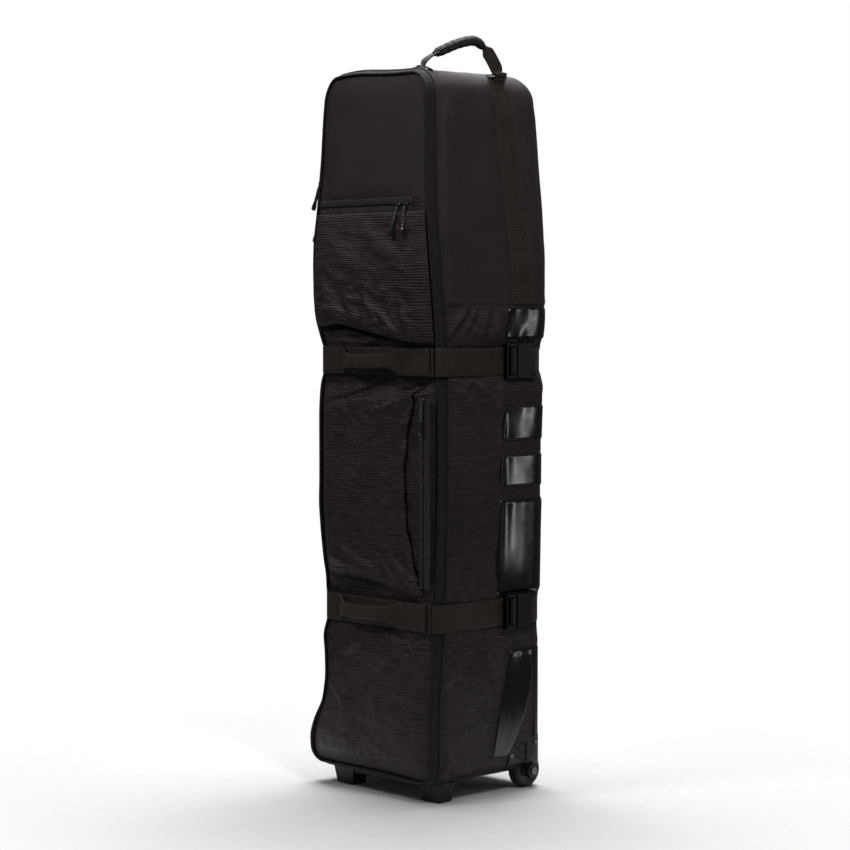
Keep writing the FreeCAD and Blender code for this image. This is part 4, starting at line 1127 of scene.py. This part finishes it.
# ---------------------------------------------------------------- side straps, wear panels
def pulled_taut(points, normal):
    """The same grid with its creases drawn out along its rows, clear of the cloth under it."""
    taut = points.copy()
    for _ in range(30):
        taut[2:-2] = (taut[1:-3] + taut[3:-1]) / 2
    sunk = ((points - taut) * normal).sum(-1).max()
    taut[2:-2, 1:-1] += normal[2:-2, 1:-1] * np.clip(sunk, 0, .0025)
    return taut


def draped(name, s, y, lift, material, body, replaces=(), left=False, uv=None,
           taut=False):
    """A grid laid on the shell at outline places s and depths y."""
    points, normal = on_shell(s, y, lift, left)
    if taut:
        points = pulled_taut(points, normal)
    if uv is None:
        uv = np.stack([y, s], axis=-1)
    return put(name, points, quads(*s.shape, flip=left), material, body, replaces, uv)


def build_side_straps():
    top = side_s(HIGH - R_HIGH) + .046
    along = np.linspace(side_s(SEAM_Z) + .002, top, 96)[:, None]
    share = (along - along[0]) / (along[-1] - along[0])
    centre = .070 - .034 * share
    half = .025 - .011 * step(share, .87, 1.0)
    across = np.array([-1.03, -1.0, -.97, -.85, -.5, 0, .5, .85, .97, 1.0, 1.03])[None]
    lift = np.array([-.001, .0008, .0021, .0024, .0024, .0024, .0024, .0024, .0021, .0008, -.001])
    for side in (False, True):
        name = "left" if side else "right"
        y = centre + across * half
        s = along + 0 * y
        uv = np.stack([across * half, s], axis=-1)
        draped(name + "_side_strap", s, y, np.broadcast_to(lift[None], s.shape), WEBBING, "case",
               ("side_straps",) if not side else (), side, uv)
        rows = []
        for edge in (-.86, .86):
            rows.append(on_shell(along[:, 0], (centre + edge * half)[:, 0], .0026, side))
        for s_row in (side_s(SEAM_Z) + .0045, side_s(SEAM_Z) + .0085):
            y_row = np.linspace(centre[0, 0] - .024, centre[0, 0] + .024, 14)
            rows.append(on_shell(s_row + 0 * y_row, y_row, .0027, side))
        stitches(name + "_side_strap_stitching", rows, "case")


def panel_grid(s0, s1, y_front, y_back, notch=None):
    """Places for a rounded panel between two heights and two depths."""
    bend = np.linspace(0, np.pi / 2, 6)
    length = s1 - s0
    rise = np.concatenate([PATCH_CORNER * (1 - np.cos(bend)),
                           np.linspace(PATCH_CORNER, length - PATCH_CORNER, 14)[1:-1],
                           length - PATCH_CORNER + PATCH_CORNER * np.sin(bend)])
    near = np.minimum(rise, length - rise)
    bite = np.maximum(PATCH_CORNER - near, 0)
    cut = PATCH_CORNER - np.sqrt(np.maximum(PATCH_CORNER ** 2 - bite ** 2, 0))
    s = (s0 + rise)[:, None]
    f = np.array([y_front(v) for v in rise / length]) + cut
    b = y_back - cut
    if notch:
        b = b - notch(rise / length)
    t = np.concatenate([[0, .015], np.linspace(.05, .95, 16), [.985, 1]])[None]
    y = f[:, None] + (b - f)[:, None] * t
    return s + 0 * y, y


def build_guards():
    front = smooth_table([(.36, .010), (.50, .014), (.60, .014), (.64, .018), (.70, .026),
                          (.83, .024), (.88, .034)], 0.01)
    zones = [(.826, .880), (.643, .703), (.559, .615), (.364, .535)]
    for k, (z0, z1) in enumerate(zones):
        s, y = panel_grid(side_s(z0), side_s(z1), lambda t: front(z0 + (z1 - z0) * t), .162)
        guard(f"{k}", s, y)
    s, y = panel_grid(side_s(.068), side_s(.262), lambda t: .002 + .046 * t ** 1.4, .108,
                      notch=lambda t: .062 * (1 - step(t, .155, .215)))
    guard("foot", s, y)


def guard(name, s, y):
    lift = np.full(s.shape, .0011)
    lift[:, [0, -1]] = -.0004
    lift[[0, -1]] = -.0004
    for side in (False, True):
        label = ("left" if side else "right") + "_wear_panel_" + name
        draped(label, s, y, lift, FILM, "case", ("side_guards",) if name == "0" else (),
               side, taut=True)
        ring = np.concatenate([np.stack([s[1:-1, 1], y[1:-1, 1]], 1),
                               np.stack([s[-2, 1:-1], y[-2, 1:-1]], 1),
                               np.stack([s[1:-1, -2], y[1:-1, -2]], 1)[::-1],
                               np.stack([s[1, 1:-1], y[1, 1:-1]], 1)[::-1]])
        rows = [on_shell(ring[:, 0], ring[:, 1], .0013, side)]
        stitches(label + "_stitching", rows, "case", radius=.00034)


def build_shell_stitching():
    rows = []
    for side in (False, True):
        for rise in (.0040, .0085):
            y = np.linspace(-.108, .140, 60)
            rows.append(on_shell(side_s(SEAM_Z + rise) + 0 * y, y, .0004, side))
    mouth = SHELL[:, 3] + SHELL_NORMAL[:, 3] * .0003
    rows.append((mouth, SHELL_NORMAL[:, 3]))
    stitches("shell_stitching", rows, "case")
    rows = []
    for inset in (.0130,):
        ring, _, _ = outline()
        x, z = ring[:, 0] - ring[:, 2] * (DOOR_INSET + inset * .5), ring[:, 1] - ring[:, 3] * (
            DOOR_INSET + inset * .5)
        rows.append((warp(door_point(x, z, .0004)), (0, -1, 0)))
    stitches("door_stitching", rows, "door")


# ---------------------------------------------------------------- hinge edge
def build_hinge_edge():
    """Cloth that joins door and shell along the hinge edge, below where the zip ends.

    It is made of overlapping lengths, since each bends at the depth of the curved front there.
    """
    depth = np.linspace(.0165, .0015, 12)[None]
    inside = .0052 + .0012 * np.sin(np.linspace(0, np.pi, 12))[None]
    edges = np.linspace(.070, 1.035, 33)
    for k, (z0, z1) in enumerate(zip(edges, edges[1:])):
        z = np.linspace(z0 - .004, z1 + .004, 8)[:, None]
        points = warp(np.stack([-HALF + inside + 0 * z, FRONT(z) + depth, z + 0 * depth],
                               axis=-1))
        uv = np.stack([depth + 0 * z, z + 0 * depth], axis=-1)
        piece = put(f"hinge_edge_cloth_{k}", points, quads(*points.shape[:2]), SIDE_CLOTH,
                    "case", uv=uv)
        add(piece, "SOLIDIFY", thickness=.0012, offset=0)
        piece.parent = None
        middle = (z0 + z1) / 2
        y = float(FRONT(middle)) + BODY_Y
        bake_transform(piece)


# ---------------------------------------------------------------- zip sliders and pulls
def slider(name, node, out, travel):
    """A zip slider: a rounded shield-shaped plate with an arched bridge."""
    points = node_points(node)
    centre = (points.min(0) + points.max(0)) / 2
    out, travel = np.array(out, float), np.array(travel, float)
    side = np.cross(out, travel)
    half = (points.max(0) - points.min(0)) / 2
    depth = abs(half @ np.abs(out))
    back = centre - out * depth
    long, wide = abs(half @ np.abs(travel)), abs(half @ np.abs(side))
    outline_points = [(-1, -.55), (-.75, -.9), (0, -1), (.6, -.95), (1, -.7), (.82, 0), (1, .7),
                      (.6, .95), (0, 1), (-.75, .9), (-1, .55)]
    rings = []
    for lift, scale in ((.0, .90), (.0004, 1.0), (.0017, 1.0), (.0022, .86), (.0022, .3)):
        rings.append([back + out * lift + travel * a * long * scale + side * b * wide * scale
                      for a, b in outline_points])
    n = len(outline_points)
    faces = quads(len(rings), n, wrap_cols=True)
    faces += [tuple(range(n)), tuple(range(5 * n - 1, 4 * n - 1, -1))]
    plate = (np.concatenate([np.array(r) for r in rings]), faces)
    arch = smooth_path([back + out * .0018 - travel * .0034, back + out * (2 * depth - .0012)
                        - travel * .0026, back + out * (2 * depth - .0006),
                        back + out * (2 * depth - .0012) + travel * .0026,
                        back + out * .0018 + travel * .0034], 20)
    points, faces = merged([plate, tube_parts(arch, .0011, 8)])
    body = put(name + "_body", points, faces, ENAMEL, node, (node,))
    return body


def pull(name, node, joint):
    """A braided cord loop through the slider's bridge, with a moulded tip."""
    points = node_points(node)
    pivot = np.array(joints[joint]["pos_m"]) - [0, BODY_Y, 0]
    far = np.linalg.norm(points - pivot, axis=1)
    tip = points[far > np.quantile(far, .85)].mean(0)
    axis = unit(tip - pivot)
    length = far.max() - .0002
    side = unit(np.cross(axis, [0, 1, 0] if abs(axis[1]) < .5 else [1, 0, 0]))
    other = np.cross(axis, side)
    start, grip = .0050, length * .57
    parts = []
    loop = [pivot + axis * .0055 + side * .0013, pivot + axis * .0020 + side * .0016,
            pivot - axis * .0006, pivot + axis * .0020 - side * .0016,
            pivot + axis * .0055 - side * .0013]
    parts.append(tube_parts(smooth_path(loop, 26), .00085, 8))
    along = np.linspace(start, grip + .002, 70)
    for k in range(3):
        turn = along / .0085 * 2 * np.pi + k * 2 * np.pi / 3
        wave = .00150
        line = (pivot + axis * along[:, None] + side * (np.cos(turn) * wave)[:, None]
                + other * (np.sin(turn) * wave)[:, None])
        parts.append(tube_parts(line, .00150, 8))
    points, faces = merged(parts)
    put(name + "_cord", points, faces, CORD, node, (node,))
    t = np.linspace(0, 1, 30)
    radius = (.0033 + .0017 * step(t, 0, .75)) * np.sqrt(np.clip(1 - (2 * t - 1) ** 8, .03, 1))
    radius *= 1 - .10 * bump(t, .16, .03) - .10 * bump(t, .26, .03) - .10 * bump(t, .36, .03)
    line = pivot + axis * (grip + (length - grip) * t)[:, None]
    flat = tube_parts(line, radius, 16, normal=side)
    squeezed = flat[0]
    centre = np.repeat(line, 16, axis=0)
    offset = squeezed - centre
    squeezed = centre + offset - other * (offset @ other)[:, None] * .28
    put(name + "_tip", squeezed, flat[1], TIP, node)


def build_sliders():
    for node, joint, out, travel in (
            ("pocket_slider_left", "pocket_pull_left", (0, -1, 0), (1, 0, 0)),
            ("pocket_slider_right", "pocket_pull_right", (0, -1, 0), (-1, 0, 0)),
            ("middle_slider", "middle_pull", (0, -1, 0), (0, 0, 1)),
            ("main_slider_upper", "main_pull_upper", (-1, 0, 0), (0, 0, 1)),
            ("main_slider_lower", "main_pull_lower", (-1, 0, 0), (0, 0, -1))):
        slider(node, node, out, travel)
        pull(joint, joint, joint + "_swing")


# ---------------------------------------------------------------- carry handle
def build_handle():
    swing = joints["handle_flop"]
    front = np.array(swing["pos_m"]) - [0, BODY_Y, 0]
    along = np.array(swing["axis"], float)
    side = np.cross(along, [0, 0, 1])
    line = np.array([(.000, .000), (.005, .010), (.017, .019), (.042, .031), (.074, .044),
                     (.104, .050), (.121, .042), (.1335, .030), (.145, .014), (.1560, -.006)])
    flat = smooth_path(line, 120)
    path = front + along * flat[:, :1] + np.array([0, 0, 1]) * flat[:, 1:]
    share = np.linspace(0, 1, 120)
    inside = between(share, .20, .76, .03)
    width = .0250 - .012 * inside - .012 * (1 - step(share, 0, .07)) - .006 * step(share, .95, 1)
    run = unit(np.gradient(path, axis=0))
    twist = (np.pi / 2 * step(share, .60, .78))[:, None]
    across = side * np.cos(twist) + np.cross(run, side) * np.sin(twist)
    webbing("handle_loop_webbing", path, across, width, .0026, "top_handle", ("handle_webbing",))
    k0, k1 = 20, 88
    centre = path[k0:k1]
    t = np.linspace(0, 1, k1 - k0)
    radius = .0086 * np.clip(1 - (2 * t - 1) ** 10, 0, 1) ** .35 * (1 - .10 * (2 * t - 1) ** 4)
    radius = np.maximum(radius, .0050)
    radius += .0003 * np.sin(t * 52) * (1 - (2 * t - 1) ** 6)
    points, faces = tube_parts(centre, radius, 24, normal=side)
    grip = put("handle_grip_wrap", points, faces, GRIP, "top_handle", ("handle_grip",),
               np.stack([np.tile(np.linspace(0, .066, 24), k1 - k0),
                         np.repeat(t * .12, 24)], axis=-1))
    add(grip, "SUBSURF", levels=1, render_levels=1)
    tangent = unit(np.gradient(centre, axis=0))
    up = unit(np.cross(side, tangent))
    up = up * np.sign(up[30, 2])
    rows = []
    for angle in (205, 335):
        d = up * math.sin(math.radians(angle)) + side * math.cos(math.radians(angle))
        rows.append((centre[3:-3] + d[3:-3] * (radius[3:-3, None] + .0001), d[3:-3]))
    stitches("handle_grip_stitching", rows, "top_handle")
    seam = centre - up * (radius[:, None] * .98)
    points, faces = tube_parts(seam[2:-2], .0012, 8)
    put("handle_grip_seam", points, faces, PIPE_CLOTH, "top_handle")
    for name, k in (("front", k0 + 5), ("rear", k1 - 6)):
        turn = np.linspace(0, 2 * np.pi, 40, endpoint=False)
        r = radius[k - k0] + .0002
        hoop = path[k] + r * (np.cos(turn)[:, None] * side + np.sin(turn)[:, None] * up[k - k0])
        points, faces = tube_parts(hoop, .0007, 6, wrap=True)
        put(f"handle_grip_{name}_hem", points, faces, PIPE_CLOTH, "top_handle")


def build_handle_tabs():
    """Folded tabs on the case's top edge that hold the handle's two ends."""
    points = node_points("handle_tabs")
    for name, front in (("front", True), ("rear", False)):
        part = points[(points[:, 1] < 0) == front]
        low, high = part.min(0), part.max(0)
        x, y = (low[0] + high[0]) / 2, (low[1] + high[1]) / 2
        s = BOTTOM_HALF + HIGH - LOW - R_LOW - R_HIGH + R_HIGH * math.acos(
            min(1, (x - HALF + R_HIGH) / R_HIGH))
        grid_s = np.linspace(s - .020, s + .016, 26)[:, None]
        across = np.array([-1.04, -1, -.9, -.5, 0, .5, .9, 1, 1.04])[None] * (
            .0115 if front else .0145)
        lift = np.array([-.001, .001, .0028, .0034, .0034, .0034, .0028, .001, -.001])[None]
        reach = HIGH + .0035 - (HIGH - R_HIGH + R_HIGH * math.sin(math.acos(
            np.clip((x - HALF + R_HIGH) / R_HIGH, 0, 1))))
        swell = bump(grid_s, s, .0065) * reach
        grid_y = y + across + 0 * grid_s
        grid_s = grid_s + 0 * across
        draped(f"handle_tab_{name}_cloth", grid_s, grid_y, lift + swell, WEBBING, "case",
               ("handle_tabs",) if front else (),
               uv=np.stack([grid_y, grid_s], axis=-1))
        rows = []
        for offset in (-.014, -.010, .011):
            ys = y + np.linspace(-.009, .009, 8)
            rows.append(on_shell(s + offset + 0 * ys, ys, .0038))
        stitches(f"handle_tab_{name}_stitching", rows, "case")


# ---------------------------------------------------------------- inside, base and hard parts
def build_inside():
    points = node_points("crown_foam")
    low, high = points.min(0), points.max(0)
    u = np.linspace(-1, 1, 40)[:, None]
    v = np.linspace(-1, 1, 40)[None]
    x = (low[0] + high[0]) / 2 + u * (high[0] - low[0]) / 2 * .82 + 0 * v
    y = (low[1] + high[1]) / 2 + v * (high[1] - low[1]) / 2 * .80 + 0 * u
    edge = (np.clip(1 - np.abs(u) ** 8, 0, 1) * np.clip(1 - np.abs(v) ** 8, 0, 1)) ** .4
    quilt = .0020 * (np.abs(np.sin(u * 4.7)) * np.abs(np.sin(v * 4.7))) ** .4
    under = high[2] - .010 - .007 * edge - quilt * edge
    top = high[2] - .010 + .008 * edge
    lower = np.stack([x, y, under], axis=-1).reshape(-1, 3)
    upper = np.stack([x, y, top], axis=-1).reshape(-1, 3)
    faces = quads(40, 40, flip=True) + [tuple(i + 1600 for i in f) for f in quads(40, 40)]
    ring = ([k for k in range(40)] + [40 * k + 39 for k in range(1, 40)]
            + [1600 - 1 - k for k in range(1, 40)] + [40 * (39 - k) for k in range(1, 39)])
    for a, b in zip(ring, ring[1:] + ring[:1]):
        faces.append((a, b, b + 1600, a + 1600))
    pad = put("crown_pad", np.vstack([lower, upper]), faces, LINING, "case", ("crown_foam",),
              uv=np.tile(np.stack([x, y], axis=-1).reshape(-1, 2), (2, 1)))


def build_base_details():
    """Ribs in the wheel housings, and the sewn edge round the foot of the shell."""
    for side in (1, -1):
        parts = []
        for a, b in (((.060, .070), (.101, .047)), ((.064, .086), (.100, .054)),
                     ((.082, .088), (.106, .064))):
            t = np.linspace(0, 1, 8)[:, None]
            line = np.array([.1556, a[0], a[1]]) * (1 - t) + np.array([.1556, b[0], b[1]]) * t
            line[:, 0] *= side
            parts.append(tube_parts(line, .0016, 8))
        points, faces = merged(parts)
        put(("right" if side > 0 else "left") + "_housing_ribs", points, faces, MATTE_PLASTIC,
            "case")
    y = np.linspace(-.116, .046, 40)
    for left in (False, True):
        path, _ = on_shell(BOTTOM_HALF - R_LOW * .80 + 0 * y, y, .0008, left)
        points, faces = tube_parts(path, .0021, 9)
        put(("left" if left else "right") + "_foot_piping", points, faces, PIPE_CLOTH, "case")


HARD = {
    "base_board": (BOARD, .0006), "back_board": (BOARD, .0006),
    "skid_rails": (MATTE_PLASTIC, .0012), "front_feet": (MATTE_PLASTIC, .0030),
    "base_rail": (MATTE_PLASTIC, .0030), "wheel_housing_right": (MATTE_PLASTIC, .0010),
    "wheel_housing_left": (MATTE_PLASTIC, .0010), "housing_screws": (STEEL, .0005),
    "axle_bolts": (STEEL, .0007), "wheel_tyre_right": (RUBBER, 0), "wheel_tyre_left": (RUBBER, 0),
    "wheel_hub_right": (HUB, .0006), "wheel_hub_left": (HUB, .0006),
    "wheel_bearings_right": (STEEL, .0003), "wheel_bearings_left": (STEEL, .0003),
}
for strap in ("upper", "lower"):
    for part in ("socket", "plug", "arm_top", "arm_bottom"):
        rounding = .0014 if part in ("socket", "plug") else .0008
        HARD[f"{strap}_buckle_{part}"] = (GLOSS_PLASTIC, rounding)


def finish_hard_parts():
    for name, (material, rounding) in HARD.items():
        node = nodes[name]
        node.data.materials.clear()
        node.data.materials.append(material)
        add(node, "WELD", merge_threshold=.00002)
        if rounding:
            add(node, "BEVEL", width=rounding, segments=3, limit_method="ANGLE",
                angle_limit=math.radians(35), harden_normals=False)


build_shell()
build_door()
build_main_zip()
build_upper_pocket()
build_middle_pocket()
build_pocket_zips()
build_straps()
build_tails()
build_buckle_tabs()
build_side_straps()
build_guards()
build_shell_stitching()
build_hinge_edge()
build_sliders()
build_handle()
build_handle_tabs()
build_inside()
build_base_details()
finish_hard_parts()


# ---------------------------------------------------------------- floor, light and camera
def area_light(name, place, aim, size, power, spread=180):
    data = bpy.data.lights.new(name, "AREA")
    data.shape = "RECTANGLE"
    data.size, data.size_y = size
    data.energy = power
    data.spread = math.radians(spread)
    light = bpy.data.objects.new(name, data)
    bpy.context.scene.collection.objects.link(light)
    light.location = place
    light.rotation_euler = (Vector(aim) - Vector(place)).to_track_quat("-Z", "Y").to_euler()
    return light


def around_case(azimuth, distance, height):
    """A place round the case: azimuth 0 is in front of the door, 90 on the buckle side."""
    a = math.radians(azimuth)
    return (math.sin(a) * distance, BODY_Y - math.cos(a) * distance, height)


def build_stage():
    mesh = bpy.data.meshes.new("floor")
    turn = np.linspace(0, 2 * np.pi, 64, endpoint=False)
    ring = [(1.5 * math.cos(a), BODY_Y + 1.5 * math.sin(a), 0) for a in turn]
    mesh.from_pydata(ring, [], [tuple(range(64))])
    floor = bpy.data.objects.new("floor", mesh)
    bpy.context.scene.collection.objects.link(floor)
    n = Nodes("floor_paper")
    speck = n.noise(n.place(), 40, 3)
    colours = n.ramp(speck, [(0.3, (0.77, 0.77, 0.77)), (0.7, (0.80, 0.80, 0.80))])
    paper = n.finish(colours, Roughness=0.9, Specular_IOR_Level=0.1)
    shown = next(k for k in paper.node_tree.nodes if k.type == "BSDF_PRINCIPLED")
    reach = n.new("VectorMath", operation="LENGTH")
    n.link(n.place(), reach.inputs[0])
    fade = n.new("MapRange", interpolation_type="SMOOTHSTEP")
    for key, value in (("From Min", 0.42), ("From Max", 1.0), ("To Min", 1.0), ("To Max", 0.0)):
        fade.inputs[key].default_value = value
    n.link(reach.outputs["Value"], fade.inputs["Value"])
    n.link(fade.outputs["Result"], shown.inputs["Alpha"])
    mesh.materials.append(paper)

    world = bpy.data.worlds.new("studio")
    world.use_nodes = True
    bpy.context.scene.world = world
    tree = world.node_tree
    shown, lit = tree.nodes["Background"], tree.nodes.new("ShaderNodeBackground")
    shown.inputs["Color"].default_value = (1, 1, 1, 1)
    shown.inputs["Strength"].default_value = 1.0
    lit.inputs["Color"].default_value = (1, 1, 1, 1)
    lit.inputs["Strength"].default_value = 0.08
    path, mix = tree.nodes.new("ShaderNodeLightPath"), tree.nodes.new("ShaderNodeMixShader")
    tree.links.new(path.outputs["Is Camera Ray"], mix.inputs["Fac"])
    tree.links.new(lit.outputs[0], mix.inputs[1])
    tree.links.new(shown.outputs[0], mix.inputs[2])
    tree.links.new(mix.outputs[0], tree.nodes["World Output"].inputs["Surface"])

    aim = (0, BODY_Y, 0.65)
    area_light("key", around_case(70, 2.1, 2.9), (0, BODY_Y, 1.15), (0.5, 0.9), 4.2, 60)
    area_light("fill", around_case(-16, 2.2, 2.9), (0, BODY_Y, 1.15), (0.5, 0.9), 3.8, 60)
    area_light("top", around_case(222, 0.75, 3.3), (0, BODY_Y, 0.3), (1.9, 1.9), 132)
    area_light("edge", around_case(133.4, 2.69, 0.9), aim, (0.085, 1.8), 3)
    bpy.context.scene.view_settings.view_transform = "Standard"


CAMERA_AZIMUTH, CAMERA_DISTANCE, CAMERA_HEIGHT = 46.6, 4.316, 0.8836
CAMERA_DIP = 0.0505                 # how far it looks down, in radians
IMAGE_WIDTH, FOCAL_LENGTH, CENTRE_SHIFT = 850, 2353, 5.4        # in pixels


def build_camera():
    data = bpy.data.cameras.new("camera")
    data.sensor_width = 36.0
    data.lens = data.sensor_width * FOCAL_LENGTH / IMAGE_WIDTH
    camera = bpy.data.objects.new("camera", data)
    bpy.context.scene.collection.objects.link(camera)
    camera.location = around_case(CAMERA_AZIMUTH, CAMERA_DISTANCE, CAMERA_HEIGHT)
    yaw = math.radians(CAMERA_AZIMUTH) + math.atan(CENTRE_SHIFT / FOCAL_LENGTH)
    camera.rotation_euler = (math.pi / 2 - CAMERA_DIP, 0, yaw)
    bpy.context.scene.camera = camera


build_stage()
build_camera()
